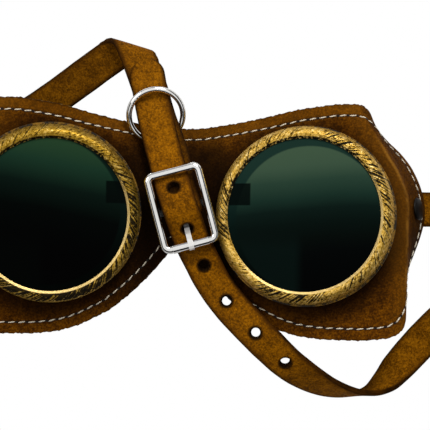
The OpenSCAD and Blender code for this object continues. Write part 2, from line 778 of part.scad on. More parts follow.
rail_c = inside_w / 2 + wire_r;
module buckle_frame() {
  straight_u = 2 * (bar_reach - corner_r);
  straight_c = 2 * (rail_c - corner_r);
  collar = (straight_c - roller_l) / 2 - end_gap;
  color("gainsboro")
    at_buckle() {
      translate([0, 0, bar_rise]) {
        for (c = [-rail_c, rail_c])
          translate([0, c, 0])
            rotate([0, 90, 0])
              bar(straight_u, wire_r);
        translate([-bar_reach, 0, 0])
          rotate([90, 0, 0])
            bar(straight_c, wire_r);
        translate([bar_reach, 0, 0])
          rotate([90, 0, 0])
            bar(straight_c, roller_bar_r);
        for (c = [-1, 1])
          translate([bar_reach, c * (straight_c - collar) / 2, 0])
            rotate([90, 0, 0])
              bar(collar, wire_r);
        for (a = [0, 90, 180, 270])
          rotate([0, 0, a])
            translate([
              (a % 180 == 0 ? bar_reach : rail_c) - corner_r,
              (a % 180 == 0 ? rail_c : bar_reach) - corner_r, 0
            ])
              rotate_extrude(angle = 90)
                translate([corner_r, 0])
                  circle(r = wire_r);
      }
      rotate([90, 0, 0])
        bar(2 * rail_c, mid_bar_r);
      for (c = [-rail_c, rail_c])
        translate([0, c, 0])
          cylinder(r = mid_bar_r, h = bar_rise);
    }
}

// Prong: an eye round the middle bar and a blade that rests on the roller
eye_bore = mid_bar_r + run_gap;
eye_r = eye_bore + eye_wall;
blade_top = bar_rise + roller_r + 0.05 + prong_h;
module buckle_prong() {
  color("gainsboro")
    at_buckle()
      rotate([90, 0, 0])
        translate([0, 0, -prong_w / 2])
          linear_extrude(prong_w)
            difference() {
              union() {
                circle(r = eye_r);
                polygon([
                  [0.4, -eye_r + 0.1], [3.2, -0.9], [6.2, 0.75], [9.2, 3.25],
                  [10.6, blade_top - prong_h], [13.2, blade_top - prong_h], [13.9, blade_top - prong_h + 0.5],
                  [13.4, blade_top - 0.2], [12.6, blade_top], [10.2, blade_top], [8.5, 4.1],
                  [5.9, 1.7], [3, 0.5], [1.4, 1.4]
                ]);
              }
              circle(r = eye_bore);
            }
}

// Sleeve that turns on the front bar
module buckle_roller() {
  color("white")
    at_buckle()
      translate([bar_reach, 0, bar_rise])
        rotate([90, 0, 0])
          difference() {
            cylinder(r = roller_r, h = roller_l, center = true);
            cylinder(r = roller_bar_r + run_gap, h = roller_l + 2, center = true);
          }
}

// Round ring that keeps both straps together
module keeper_ring() {
  middle = (tip_low + tip_t / 2 + main_low - main_t / 2) / 2;
  color("silver")
    at_buckle()
      translate([-keeper_reach, -0.5, sloped(middle, -keeper_reach)])
        rotate([0, keeper_lean - strap_slope, 0])
          rotate_extrude()
            translate([keeper_r, 0])
              circle(r = keeper_wire_r);
}

// Domed black cap with a hollow stem
module rivet_cap(side) {
  strap = side > 0 ? tip_t : main_t;
  stem = mask_back + strap_gap + strap - 0.3;
  color("black")
    at_rivet(side)
      rotate_extrude()
        polygon(concat(
          [[post_r + run_gap, -stem], [stem_r, -stem], [stem_r, seat_gap], [cap_r - 0.3, seat_gap], [cap_r, 0.4]],
          [for (a = [15:15:75]) [cap_r * cos(a), 0.4 + (cap_h - 0.4) * sin(a)]],
          [[0, cap_h], [0, 0.5], [post_r + run_gap, 0.5]]
        ));
}

// Post with a flat head behind the strap
module rivet_post(side) {
  strap = side > 0 ? tip_t : main_t;
  back = mask_back + strap_gap + strap + 0.75;
  color("dimgray")
    at_rivet(side) {
      translate([0, 0, -back])
        cylinder(r = post_r, h = back + 0.4);
      translate([0, 0, -back - head_t])
        cylinder(r = head_r, h = head_t);
    }
}

mask_leather();
mask_lining();
eyecup(-1);  // eyecup_left
eyecup(1);  // eyecup_right
base_ring(-1);  // base_ring_left
base_ring(1);  // base_ring_right
bezel(-1);  // bezel_left
bezel(1);  // bezel_right
lens(-1);  // lens_left
lens(1);  // lens_right
lens_gasket(-1);  // lens_gasket_left
lens_gasket(1);  // lens_gasket_right
nose_bridge();
tip_strap();
buckle_strap();
fold_rivet();
buckle_frame();
buckle_prong();
buckle_roller();
keeper_ring();
rivet_cap(-1);  // rivet_cap_left
rivet_cap(1);  // rivet_cap_right
rivet_post(-1);  // rivet_post_left
rivet_post(1);  // rivet_post_right
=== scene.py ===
"""Looks of the goggles: leather, stitches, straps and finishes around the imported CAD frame.

Lengths in the shape code are millimetres, as in the CAD source; meshes and shaders are in metres.
"""

import logging
import math
import random
from collections.abc import Callable, Mapping, Sequence
from dataclasses import dataclass
from enum import Enum

import bpy
import numpy as np
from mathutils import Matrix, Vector


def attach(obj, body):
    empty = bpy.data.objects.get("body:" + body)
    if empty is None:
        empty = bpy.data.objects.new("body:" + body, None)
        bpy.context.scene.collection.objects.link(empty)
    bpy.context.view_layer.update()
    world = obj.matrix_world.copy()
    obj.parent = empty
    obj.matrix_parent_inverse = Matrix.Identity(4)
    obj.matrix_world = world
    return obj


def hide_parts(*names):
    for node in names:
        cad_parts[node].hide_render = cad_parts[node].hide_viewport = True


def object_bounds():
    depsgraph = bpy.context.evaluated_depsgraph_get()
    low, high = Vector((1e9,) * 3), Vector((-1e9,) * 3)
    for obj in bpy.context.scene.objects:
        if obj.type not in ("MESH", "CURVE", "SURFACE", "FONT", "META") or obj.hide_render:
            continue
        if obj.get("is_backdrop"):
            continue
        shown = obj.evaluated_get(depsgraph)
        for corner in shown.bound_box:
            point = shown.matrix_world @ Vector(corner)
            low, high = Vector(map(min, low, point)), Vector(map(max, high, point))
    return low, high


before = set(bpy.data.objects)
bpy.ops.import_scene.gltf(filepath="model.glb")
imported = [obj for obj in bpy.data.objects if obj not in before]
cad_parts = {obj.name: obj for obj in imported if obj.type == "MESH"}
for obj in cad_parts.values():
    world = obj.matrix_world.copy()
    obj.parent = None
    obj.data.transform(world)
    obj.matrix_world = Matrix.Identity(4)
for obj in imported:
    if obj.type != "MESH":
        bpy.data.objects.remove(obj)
cad_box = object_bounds()

log = logging.getLogger("goggles")
MM = 0.001
ROOT = "goggles"
TABLE_STEP = 0.5
PART_ROWS = 4000

Array = np.ndarray
Points = Sequence[Sequence[float]]
Spot = tuple[Array, Array, Array]
Object = bpy.types.Object
Material = bpy.types.Material
Socket = bpy.types.NodeSocket


# Small helpers for numbers

def table(points: Points, places: Array) -> Array:
    """Looks values up between pairs of position and value; both ends are held."""
    p = np.array(points, float)
    return np.interp(places, p[:, 0], p[:, 1])


def rounded(points: Points, span: float) -> list[list[float]]:
    """Softens the corners of a table by averaging it over a short span.

    Args:
        points: pairs of position and value, rising in position.
        span: half the width of the average.

    Returns: a denser table.
    """
    low, high = points[0][0], points[-1][0]
    places = np.arange(low, high + TABLE_STEP / 2, TABLE_STEP)
    shifts = np.linspace(-span, span, 9)
    mean = sum(table(points, np.clip(places + d, low, high)) for d in shifts) / len(shifts)
    blend = np.clip(np.minimum(places - low, high - places) / span, 0, 1)
    return np.stack([places, mean * blend + table(points, places) * (1 - blend)], 1).tolist()


def bell(gap: Array, height: float, middle: float, width: float) -> Array:
    """A smooth hump about a place."""
    return height * np.exp(-(((gap - middle) / width) ** 2))


def unit(v: Array) -> Array:
    """Scales each row to length one."""
    return v / np.linalg.norm(v, axis=-1, keepdims=True)


def run_length(points: Array) -> Array:
    """Length along a line at each of its points."""
    return np.concatenate([[0], np.cumsum(np.linalg.norm(np.diff(points, axis=0), axis=1))])


def by_parts(rows: Array, work: Callable[[Array], Array]) -> Array:
    """Works on a long array part by part, which keeps the memory small."""
    return np.concatenate([work(rows[i : i + PART_ROWS]) for i in range(0, len(rows), PART_ROWS)])


def mix(a: float, b: float, k: float) -> float:
    """Blends two numbers."""
    return a + (b - a) * k


# Seats of the cups

class Side(Enum):
    """The left or right half as the picture shows it."""

    LEFT = -1
    RIGHT = 1

    @property
    def word(self) -> str:
        """Name of the side, as the CAD nodes spell it."""
        return self.name.lower()


@dataclass(frozen=True)
class Cup:
    """Seat of one cup on the leather."""

    x: float
    z: float
    lean_y: float
    lean_x: float

    @property
    def slope_x(self) -> float:
        """Rise of the leather per mm along X."""
        return -math.tan(math.radians(self.lean_x))

    @property
    def slope_y(self) -> float:
        """Rise of the leather per mm along Y."""
        return math.tan(math.radians(self.lean_y)) / math.cos(math.radians(self.lean_x))

    def axes(self) -> Array:
        """Returns: the cup's own x, y and z axes as the columns of a matrix."""
        a, b = math.radians(self.lean_y), math.radians(self.lean_x)
        about_x = np.array([[1, 0, 0], [0, math.cos(a), -math.sin(a)], [0, math.sin(a), math.cos(a)]])
        about_y = np.array([[math.cos(b), 0, math.sin(b)], [0, 1, 0], [-math.sin(b), 0, math.cos(b)]])
        return about_y @ about_x

    def plane_z(self, x: Array, y: Array) -> Array:
        """Height of the cup's seat, carried on beyond it."""
        return self.z + self.slope_x * (x - self.x) + self.slope_y * y


CUPS = {Side.RIGHT: Cup(41.6, 20.5, -3, -8), Side.LEFT: Cup(-41.6, 21.5, 6.5, 4)}


# Shape of the mask

@dataclass
class Leather:
    """The mask's face: a panel over the cups, with a wing turned down on each side.

    A place on it is a length s along the leather from the middle, and a height y. The ridge and the
    hollow beside the crease are each a height, a place beyond the crease and a width. An inset line
    drops the points that come nearer to the edge than least_inset times the inset.
    """

    outer_t: float = 2.0
    lining_t: float = 1.0
    layer_gap: float = 0.16
    cup_x: float = 41.6
    clamp_r: float = 31.5
    least_chord: float = 8.0
    bend_r: float = 6.0
    wing_start: float = 84.5
    wing_half: float = 22.0
    wing_round: float = 10.5
    wing_power: float = 1.6
    nose_sag: float = 9.0
    bridge_sag: float = 0.25
    swell: float = 0.16
    swell_fade: float = 8.0
    ridge: tuple[float, float, float] = (0.4, 0, 1.0)
    hollow: tuple[float, float, float] = (0.75, 2.6, 1.4)
    relief_reach: float = 9.0
    relief_fade: float = 4.0
    rivet_s: float = 86.0
    rivet_y: float = 3.0
    far_s: float = 96.0
    far_points: int = 769
    edge_points: int = 400
    end_points: int = 60
    least_inset: float = 0.93
    top_edge: Points = (
        (0, 28.4), (7, 28.5), (20, 30.6), (29, 32.5), (39, 35), (51, 36.8), (58, 36.9), (61.5, 36.3),
        (66, 33.5), (72, 30),
    )
    bottom_edge: Points = (
        (0, -10.2), (2, -11.4), (4.3, -14.4), (9, -20), (15, -26), (22, -31.8), (32, -36.9), (39, -39),
        (47, -39.9), (60, -40), (69, -39), (74, -36.5), (79, -30.5),
    )
    bend_start: Points = (
        (-40, 68.6), (-20, 68.9), (-5, 69.4), (2, 69.2), (8, 68.4), (14, 66.7), (20, 63.9), (27, 59.7),
        (36, 55.6),
    )
    bend_turn: Points = ((-40, 98), (-20, 86), (-10, 73), (0, 66.5), (10, 65), (20, 67), (27, 79), (36, 95))
    crease_line: Points = (
        (-40, 75.2), (-30, 74.9), (-18, 74.6), (-8, 74.5), (-2, 74.5), (4, 74.9), (8, 74.4), (15, 71.2),
        (22, 66.8), (29, 62.3), (34, 58.5),
    )

    def __post_init__(self) -> None:
        """Softens the tables."""
        self.top = rounded([*self.top_edge, (self.wing_start, self.wing_half)], 2.2)
        self.bottom = rounded([*self.bottom_edge, (self.wing_start, -self.wing_half)], 1.6)
        self.start, self.turn = rounded(self.bend_start, 4), rounded(self.bend_turn, 4)
        self.crease = rounded(self.crease_line, 3)
        self.back = self.outer_t + self.layer_gap + self.lining_t

    def wing_y(self, g: Array) -> Array:
        """Height on the wing at a share of its width, from 0 at the lower edge to 1 at the upper."""
        return -self.wing_half + 2 * self.wing_half * g

    def wing_end(self, g: Array) -> Array:
        """Length along the leather where the wing ends, at a share of its width."""
        return self.wing_start + self.wing_round * (1 - np.abs(2 * g - 1) ** self.wing_power)

    def edge_y(self, s: Array, g: Array) -> Array:
        """Height of a line that runs along the mask at a share of its width.

        Args:
            s: length along the leather.
            g: 0 at the lower edge, 1 at the upper edge.

        Returns: the heights.
        """
        a = np.abs(s)
        inner = table(self.bottom, a) * (1 - g) + table(self.top, a) * g
        return np.where(a < self.wing_start, inner, self.wing_y(g))

    def panel_z(self, x: Array, y: Array) -> Array:
        """Height of the face before the wings are turned down.

        Args:
            x: place across.
            y: place up the mask.

        Returns: the heights, which pass from one cup's seat to the other and sag at the nose.
        """
        half = self.cup_x - np.sqrt(np.maximum(self.clamp_r**2 - y * y, self.least_chord**2))
        k = np.clip((x + half) / (2 * half), 0, 1)
        k = k * k * (3 - 2 * k)
        share = np.clip(y / self.top_edge[0][1], 0, 1) ** 1.5
        sag = self.bridge_sag * (1 - share) + self.nose_sag * share
        dip = sag * np.maximum(1 - (x / half) ** 2, 0) ** 1.5
        return CUPS[Side.LEFT].plane_z(x, y) * (1 - k) + CUPS[Side.RIGHT].plane_z(x, y) * k - dip

    def crease_gap(self, points: Array) -> Array:
        """Distance of face points beyond the wing's crease, as seen from the front."""
        return np.abs(points[..., 0]) - table(self.crease, points[..., 1])

    def crease_relief(self, gap: Array, over: Array) -> Array:
        """Height of the ridge along the crease and of the hollow beyond it.

        Args:
            gap: distance beyond the crease.
            over: length beyond the start of the bend.

        Returns: heights, 0 away from the bend.
        """
        near = np.clip(1 - (over - self.relief_reach) / self.relief_fade, 0, 1)
        return near * (bell(gap, *self.ridge) - bell(gap, *self.hollow))

    def wave(self, s: Array, y: Array) -> Array:
        """Slight unevenness, which fades out under the cups.

        Args:
            s: length along the leather.
            y: height.

        Returns: the rise of the face.
        """
        near = np.minimum(np.hypot(np.abs(s) - self.cup_x, y) - self.clamp_r, self.swell_fade)
        free = np.clip(near / self.swell_fade, 0, 1)
        shape = np.sin(s * 0.21 + y * 0.11) * 0.5 + np.sin(s * 0.093 - y * 0.19 + 1.3) * 0.5
        return self.swell * free * shape

    def face(self, s: Array, y: Array) -> Array:
        """Point on the face.

        Args:
            s: length along the leather.
            y: height.

        Returns: points with a last axis of three.
        """
        side = np.where(s < 0, -1.0, 1.0)
        start = table(self.start, y)
        turn = np.radians(table(self.turn, y))
        over = np.maximum(np.abs(s) - start, 0)
        angle = np.minimum(over / self.bend_r, turn)
        rest = over - angle * self.bend_r
        x = side * (np.minimum(np.abs(s), start) + self.bend_r * np.sin(angle) + rest * np.cos(turn))
        drop = self.bend_r * (1 - np.cos(angle)) + rest * np.sin(turn)
        relief = self.crease_relief(np.abs(x) - table(self.crease, y), over)
        return np.stack([x, y + 0 * x, self.panel_z(x, y) - drop + self.wave(s, y) + relief], -1)

    def normal(self, s: Array, y: Array, e: float = 0.2) -> Array:
        """Outward normal of the face, from points at a short distance e."""
        return unit(np.cross(self.face(s + e, y) - self.face(s - e, y), self.face(s, y + e) - self.face(s, y - e)))

    def under(self, s: Array, y: Array, depth: float) -> Array:
        """Points at a depth behind the face."""
        return self.face(s, y) - depth * self.normal(s, y)

    def spot(self, s: float, y: float, depth: float = 0) -> tuple[Array, Array]:
        """One point at a depth behind the face, and the normal there."""
        place = np.array(float(s)), np.array(float(y))
        return self.under(*place, depth), self.normal(*place)

    def rivet(self, side: Side, depth: float = 0) -> tuple[Array, Array]:
        """Seat of a wing's rivet at a depth behind the face, and the normal there."""
        return self.spot(side.value * self.rivet_s, self.rivet_y, depth)

    def outline(self, inset: float = 0.0, pitch: float = 0.5) -> Array:
        """Runs round the mask on the flat leather.

        Args:
            inset: distance inside the cut edge.
            pitch: spacing of the points.

        Returns: points of length along the leather and height.
        """
        s = np.linspace(-self.wing_start, self.wing_start, self.edge_points)
        g = np.linspace(1, 0, self.end_points)
        top = np.stack([s, table(self.top, np.abs(s))], 1)
        right = np.stack([self.wing_end(g), self.wing_y(g)], 1)
        bottom = np.stack([s[::-1], table(self.bottom, np.abs(s[::-1]))], 1)
        left = np.stack([-self.wing_end(g[::-1]), self.wing_y(g[::-1])], 1)
        ring = np.vstack([top, right[1:], bottom[1:], left[1:-1]])
        if inset:
            along = unit(np.roll(ring, -3, 0) - np.roll(ring, 3, 0))
            ring = ring + inset * np.stack([along[:, 1], -along[:, 0]], 1)
            edge = self.outline()
            gap = np.array([np.min(np.hypot(*(edge - q).T)) for q in ring])
            ring = ring[gap > inset * self.least_inset]
        closed = np.vstack([ring, ring[:1]])
        far = run_length(closed)
        steps = np.linspace(0, far[-1], max(int(far[-1] / pitch), 8), endpoint=False)
        return np.stack([np.interp(steps, far, closed[:, k]) for k in (0, 1)], 1)

    def flat_s(self, points: Array) -> Array:
        """Finds how far along the leather points of the face lie, at their own height.

        Args:
            points: points in mm.

        Returns: lengths along the leather.
        """
        line = np.linspace(-self.far_s, self.far_s, self.far_points)

        def nearest(part: Array) -> Array:
            """The nearest places on the face."""
            rows = self.face(*np.meshgrid(line, part[:, 1]))
            gaps = np.hypot(rows[..., 0] - part[:, None, 0], rows[..., 2] - part[:, None, 2])
            return line[np.argmin(gaps, 1)]

        return by_parts(points, nearest)


# Shape of the straps

def station(point: Sequence[float], azimuth: float, elevation: float, t: float) -> Array:
    """A strap's station: its middle, the line across it, and its thickness."""
    a, e = math.radians(azimuth), math.radians(elevation)
    return np.array([*point, math.cos(e) * math.cos(a), math.cos(e) * math.sin(a), math.sin(e), t])


def rolled(x: float, y: float, z: float, heading: float, roll: float, t: float) -> Array:
    """A station of a strap that heads somewhere and has rolled over.

    Args:
        x, y, z: its middle.
        heading: direction along the strap, in degrees.
        roll: turn about that direction, in degrees.
        t: thickness.

    Returns: the station.
    """
    h, r = math.radians(heading), math.radians(roll)
    across = (-math.sin(h) * math.cos(r), math.cos(h) * math.cos(r), -math.sin(r))
    return np.array([x, y, z, *across, t])


def smooth_run(stations: Sequence[Array], steps: int = 7) -> Array:
    """Runs a Catmull-Rom curve through stations.

    Args:
        stations: the strap's stations.
        steps: points from one station to the next.

    Returns: one row per ring.
    """
    rows, last = [], len(stations) - 1
    for i in range(last):
        a, b = stations[max(i - 1, 0)], stations[i]
        c, d = stations[i + 1], stations[min(i + 2, last)]
        for j in range(steps):
            k = j / steps
            square, cube = (2 * a - 5 * b + 4 * c - d) * k**2, (3 * b - a - 3 * c + d) * k**3
            rows.append((2 * b + (c - a) * k + square + cube) / 2)
    return np.array([*rows, stations[last]])


@dataclass
class Buckle:
    """The buckle's place and bars, and the strap layers that lie in it."""

    place: tuple[float, float, float] = (1.1, 2.0, 25.4)
    turn: float = -74.4
    bar_reach: float = 12.2
    bar_rise: float = 2.4
    roller_r: float = 1.5
    mid_bar_r: float = 1.1
    wrap_gap: float = 0.22
    slope: float = 10.5
    play: float = 0.1
    width: float = 11.6
    tip_t: float = 2.0
    main_t: float = 1.8
    pared_t: float = 1.4

    def __post_init__(self) -> None:
        """Works out the directions along and across, and the height of each layer's middle."""
        a = math.radians(self.turn)
        self.middle = np.array(self.place)
        self.u = np.array([math.cos(a), math.sin(a), 0])
        self.c = np.array([-self.u[1], self.u[0], 0])
        self.wrap_r = self.mid_bar_r + self.wrap_gap + self.pared_t / 2
        self.crown = self.mid_bar_r + self.wrap_gap + self.pared_t + self.play + self.tip_t / 2
        self.tip_low = self.bar_rise - self.roller_r - self.play - 2 * self.play - self.tip_t / 2
        self.main_low = self.tip_low - self.tip_t / 2 - self.play - self.main_t / 2
        self.back_low = self.main_low - self.main_t / 2 - self.play - self.pared_t / 2

    def point(self, u: float, c: float, v: float) -> Array:
        """A point in the buckle's own frame."""
        return self.middle + u * self.u + c * self.c + np.array([0, 0, v])

    def station(self, u: float, c: float, v: float, t: float, turn: float = 0) -> Array:
        """A station in the buckle's own frame."""
        return station(self.point(u, c, v), self.turn + 90 - turn, 0, t)

    def sloped(self, v: float, u: float) -> float:
        """Height of a layer that descends from the buckle's back bar."""
        return v + (u + self.bar_reach) * math.tan(math.radians(self.slope))

    def local(self, g: "Graph", p: Socket) -> tuple["Wire", "Wire"]:
        """Places along and across the buckle, inside a shader.

        Args:
            g: the graph.
            p: coordinates in metres.

        Returns: the two distances from the buckle's middle.
        """
        seat = g.scaled(p, shift=tuple(-self.middle * MM))
        return g.dot(seat, tuple(self.u)), g.dot(seat, tuple(self.c))


@dataclass
class Ribbon:
    """A strap as rings of its middle line; tip is the radius of its round end."""

    run: Array
    width: float
    tip: float = 0.0
    least_tip: float = 0.04
    fray: float = 0.12

    def __post_init__(self) -> None:
        """Works out directions, lengths and half widths at the rings."""
        p = self.run[:, :3]
        self.middle = p
        self.along = unit(np.vstack([p[1:], p[-1:]]) - np.vstack([p[:1], p[:-1]]))
        self.across = unit(self.run[:, 3:6])
        self.normal = unit(np.cross(self.along, self.across))
        self.far = run_length(p)
        skew = np.sum(self.along * self.across, axis=1)
        half = np.full(len(p), self.width / 2)
        if self.tip:
            reach = np.maximum(self.tip**2 - np.maximum(self.tip - self.far, 0) ** 2, self.least_tip)
            half = np.sqrt(reach) * self.width / 2 / self.tip
        self.half = half / np.sqrt(1 - skew**2)

    def point(self, ring: Array, across: Array, up: Array) -> Array:
        """Places points on the strap.

        Args:
            ring: ring numbers, with fractions.
            across: -1 to 1 from edge to edge.
            up: -1 to 1 through the thickness.

        Returns: points in mm.
        """
        i = np.arange(len(self.run))

        def at_ring(values: Array) -> Array:
            """Values between the rings."""
            if values.ndim == 1:
                return np.interp(ring, i, values)
            return np.stack([np.interp(ring, i, values[:, k]) for k in range(3)], -1)

        far = at_ring(self.far)
        wobble = 1 + self.fray / self.width * (np.sin(far * 0.37) + np.sin(far * 0.83 + 2) * 0.6) * 0.5
        reach = (at_ring(self.half) * wobble * across)[..., None]
        rise = (at_ring(self.run[:, 6]) / 2 * up)[..., None]
        return at_ring(self.middle) + at_ring(self.across) * reach + at_ring(self.normal) * rise

    def spot(self, length: float) -> Spot:
        """Returns: middle, direction along and normal at a length from the start."""
        kinds = (self.middle, self.along, self.normal)
        middle, along, normal = (
            np.array([np.interp(length, self.far, v[:, k]) for k in range(3)]) for v in kinds
        )
        return middle, unit(along), unit(normal)


# Node graphs

def srgb(code: str) -> tuple[float, float, float, float]:
    """Turns a hex colour into the linear colour that Blender takes."""
    parts = [int(code[i : i + 2], 16) / 255 for i in (1, 3, 5)]
    linear = [c / 12.92 if c < 0.04045 else ((c + 0.055) / 1.055) ** 2.4 for c in parts]
    return (*linear, 1.0)


def sums(operation: str) -> tuple[Callable, Callable]:
    """Makes an operator of Wire and its reflected form.

    Args:
        operation: the Math node's operation.

    Returns: the two methods.
    """

    def plain(self: "Wire", other: "Wire | float") -> "Wire":
        """The operation with this wire first."""
        return self.graph.math(operation, self, other)

    def reflected(self: "Wire", other: float) -> "Wire":
        """The operation with this wire last."""
        return self.graph.math(operation, other, self)

    return plain, reflected


class Wire:
    """A number that flows between nodes; an expression on it adds Math nodes."""

    __add__, __radd__ = sums("ADD")
    __sub__, __rsub__ = sums("SUBTRACT")
    __mul__, __rmul__ = sums("MULTIPLY")
    __truediv__, __rtruediv__ = sums("DIVIDE")
    __pow__, __rpow__ = sums("POWER")
    at_least = sums("MAXIMUM")[0]
    at_most = sums("MINIMUM")[0]

    def __init__(self, graph: "Graph", socket: Socket) -> None:
        """Wraps a socket of a graph."""
        self.graph, self.socket = graph, socket

    def __abs__(self) -> "Wire":
        """The number without its sign."""
        return self.graph.math("ABSOLUTE", self)

    def fraction(self) -> "Wire":
        """The part after the point."""
        return self.graph.math("FRACT", self)

    def step(self, low: float, high: float) -> "Wire":
        """A smooth step between two values, rising from 0 to 1 or, if high is the lower, falling.

        Args:
            low: where the result is 0.
            high: where the result is 1.

        Returns: the step.
        """
        rising = float(low < high)
        ends = {"From Min": min(low, high), "From Max": max(low, high), "To Min": 1 - rising, "To Max": rising}
        sockets = {"Value": self, **ends}
        return self.graph.wire("MapRange", {"interpolation_type": "SMOOTHSTEP"}, sockets, "Result")


class Graph:
    """One node tree of a material or of the world."""

    def __init__(self, tree: bpy.types.NodeTree, output: str = "OutputMaterial") -> None:
        """Clears a tree and gives it an output node."""
        self.tree = tree
        self.tree.nodes.clear()
        self.output = self.node(output)

    @classmethod
    def named(cls, name: str) -> "Graph":
        """Makes a material.

        Args:
            name: the material's name.

        Returns: its graph, which knows the material.
        """
        material = bpy.data.materials.new(name)
        material.use_nodes = True
        graph = cls(material.node_tree)
        graph.material = material
        return graph

    def node(
        self, kind: str, settings: Mapping[str, object] | None = None, sockets: Mapping[object, object] | None = None
    ) -> bpy.types.Node:
        """Adds a node.

        Args:
            kind: its type, without ShaderNode.
            settings: its properties, set first; stops are a ramp's positions and colours.
            sockets: a value, a hex colour or something to link, by each input's name or number.

        Returns: the node.
        """
        made = self.tree.nodes.new(f"ShaderNode{kind}")
        for key, value in (settings or {}).items():
            if key == "stops":
                elements = made.color_ramp.elements
                while len(elements) < len(value):
                    elements.new(0.5)
                for element, (position, code) in zip(elements, value, strict=True):
                    element.position, element.color = position, srgb(code)
            else:
                setattr(made, key, value)
        for key, value in (sockets or {}).items():
            value = value.socket if isinstance(value, Wire) else value
            if isinstance(value, Socket):
                self.tree.links.new(value, made.inputs[key])
            else:
                made.inputs[key].default_value = srgb(value) if isinstance(value, str) else value
        return made

    def wire(self, kind: str, settings: Mapping, sockets: Mapping, output: str | int = 0) -> Wire:
        """Adds a node and takes one of its numbers."""
        return Wire(self, self.node(kind, settings, sockets).outputs[output])

    def close(self, shader: bpy.types.Node) -> None:
        """Links the last shader to the output."""
        self.tree.links.new(shader.outputs[0], self.output.inputs["Surface"])

    def math(self, operation: str, *terms: object) -> Wire:
        """A Math node."""
        return self.wire("Math", {"operation": operation}, dict(enumerate(terms)))

    def place(self, source: str = "Object") -> Socket:
        """Texture coordinates, in metres for Object."""
        return self.node("TexCoord").outputs[source]

    def number(self, name: str) -> Wire:
        """A number stored on the mesh's vertices."""
        return self.wire("Attribute", {"attribute_name": name}, {}, "Fac")

    def camera_ray(self) -> Socket:
        """1 for what the camera sees itself, 0 for light and reflections."""
        return self.node("LightPath").outputs["Is Camera Ray"]

    def scaled(self, vector: Socket, by: Sequence[float] = (1, 1, 1), shift: Sequence[float] = (0, 0, 0)) -> Socket:
        """Multiplies and shifts a vector."""
        return self.node("VectorMath", {"operation": "MULTIPLY_ADD"}, {0: vector, 1: by, 2: shift}).outputs[0]

    def dot(self, vector: Socket, other: Sequence[float]) -> Wire:
        """Dot product with a constant vector."""
        return self.wire("VectorMath", {"operation": "DOT_PRODUCT"}, {0: vector, 1: other}, "Value")

    def distance(self, vector: Socket, other: Sequence[float]) -> Wire:
        """Distance from a constant point."""
        return self.wire("VectorMath", {"operation": "DISTANCE"}, {0: vector, 1: other}, "Value")

    def vector(self, x: object, y: object, z: object) -> Socket:
        """Joins three numbers."""
        return self.node("CombineXYZ", {}, {0: x, 1: y, 2: z}).outputs[0]

    def split(self, vector: Socket) -> tuple[Wire, Wire, Wire]:
        """Splits a vector into its numbers."""
        return tuple(Wire(self, s) for s in self.node("SeparateXYZ", {}, {0: vector}).outputs)

    def noise(self, vector: Socket, scale: float, detail: float = 3, rough: float = 0.55, warp: float = 0) -> Wire:
        """Noise from 0 to 1."""
        sockets = {"Vector": vector, "Scale": scale, "Detail": detail, "Roughness": rough, "Distortion": warp}
        return self.wire("TexNoise", {}, sockets)

    def cells(self, vector: Socket, scale: float) -> Wire:
        """Distance from the nearest point of a Voronoi pattern."""
        return self.wire("TexVoronoi", {"feature": "F1"}, {"Vector": vector, "Scale": scale}, "Distance")

    def ramp(self, factor: object, stops: Sequence[tuple[float, str]]) -> Socket:
        """Colours along a factor."""
        return self.node("ValToRGB", {"stops": stops}, {0: factor}).outputs[0]

    def blend(self, factor: object, a: object, b: object) -> Socket:
        """Mixes two colours."""
        settings = {"data_type": "RGBA", "blend_type": "MIX", "clamp_factor": True}
        return self.node("Mix", settings, {0: factor, 6: a, 7: b}).outputs[2]

    def bump(self, height: Wire, distance: float, strength: float = 1.0) -> Socket:
        """A bump from a height; distance in metres."""
        return self.node("Bump", {}, {"Height": height, "Distance": distance, "Strength": strength}).outputs[0]


# Finishes

@dataclass(frozen=True)
class Finish:
    """A finish, from which a material is made."""

    name: str

    def sockets(self, g: Graph) -> dict[str, object]:
        """Works out the finish.

        Args:
            g: the material's graph.

        Returns: what goes into each input of the Principled BSDF.
        """
        raise NotImplementedError

    def material(self) -> Material:
        """Makes the material."""
        g = Graph.named(self.name)
        g.close(g.node("BsdfPrincipled", {}, self.sockets(g)))
        return g.material


@dataclass(frozen=True)
class Hide:
    """Colours of one leather, from shade to light."""

    dark: str
    middle: str
    light: str
    rough: float = 0.95

    def paint(self, g: Graph, p: Socket, patch: float = 42) -> tuple[Socket, Wire]:
        """Mottles the leather.

        Args:
            g: the material's graph.
            p: coordinates in metres.
            patch: scale of the large patches.

        Returns: colour and bump height.
        """
        large = g.noise(p, patch, 4, 0.6, 0.4)
        small = g.noise(p, 420, 5, 0.65)
        grain = g.noise(p, 1500, 3, 0.75)
        pores = g.cells(p, 1300)
        tone = large * 0.42 + small * 0.55 + grain * 1.0 - 0.485
        colour = g.ramp(tone, [(0.34, self.dark), (0.5, self.middle), (0.68, self.light)])
        colour = g.blend(pores.step(0.3, 0.02) * 0.5, colour, self.dark)
        return colour, grain * 0.45 + small * 0.5 + pores * 0.25


MASK_HIDE = Hide("#311901", "#522c02", "#744504")
LINING_HIDE = Hide("#4e3817", "#755727", "#927440")
STRAP_GRAIN = Hide("#523002", "#7b4a02", "#a16505")
STRAP_FLESH = Hide("#422501", "#6c4003", "#976009", 0.9)
CUT_HIDE = Hide("#1a0d02", "#2f1a04", "#4a2c08")
HOLE_HIDE = Hide("#0e0702", "#1f1205", "#37210b")
LEATHER_GLOSS = 0.025


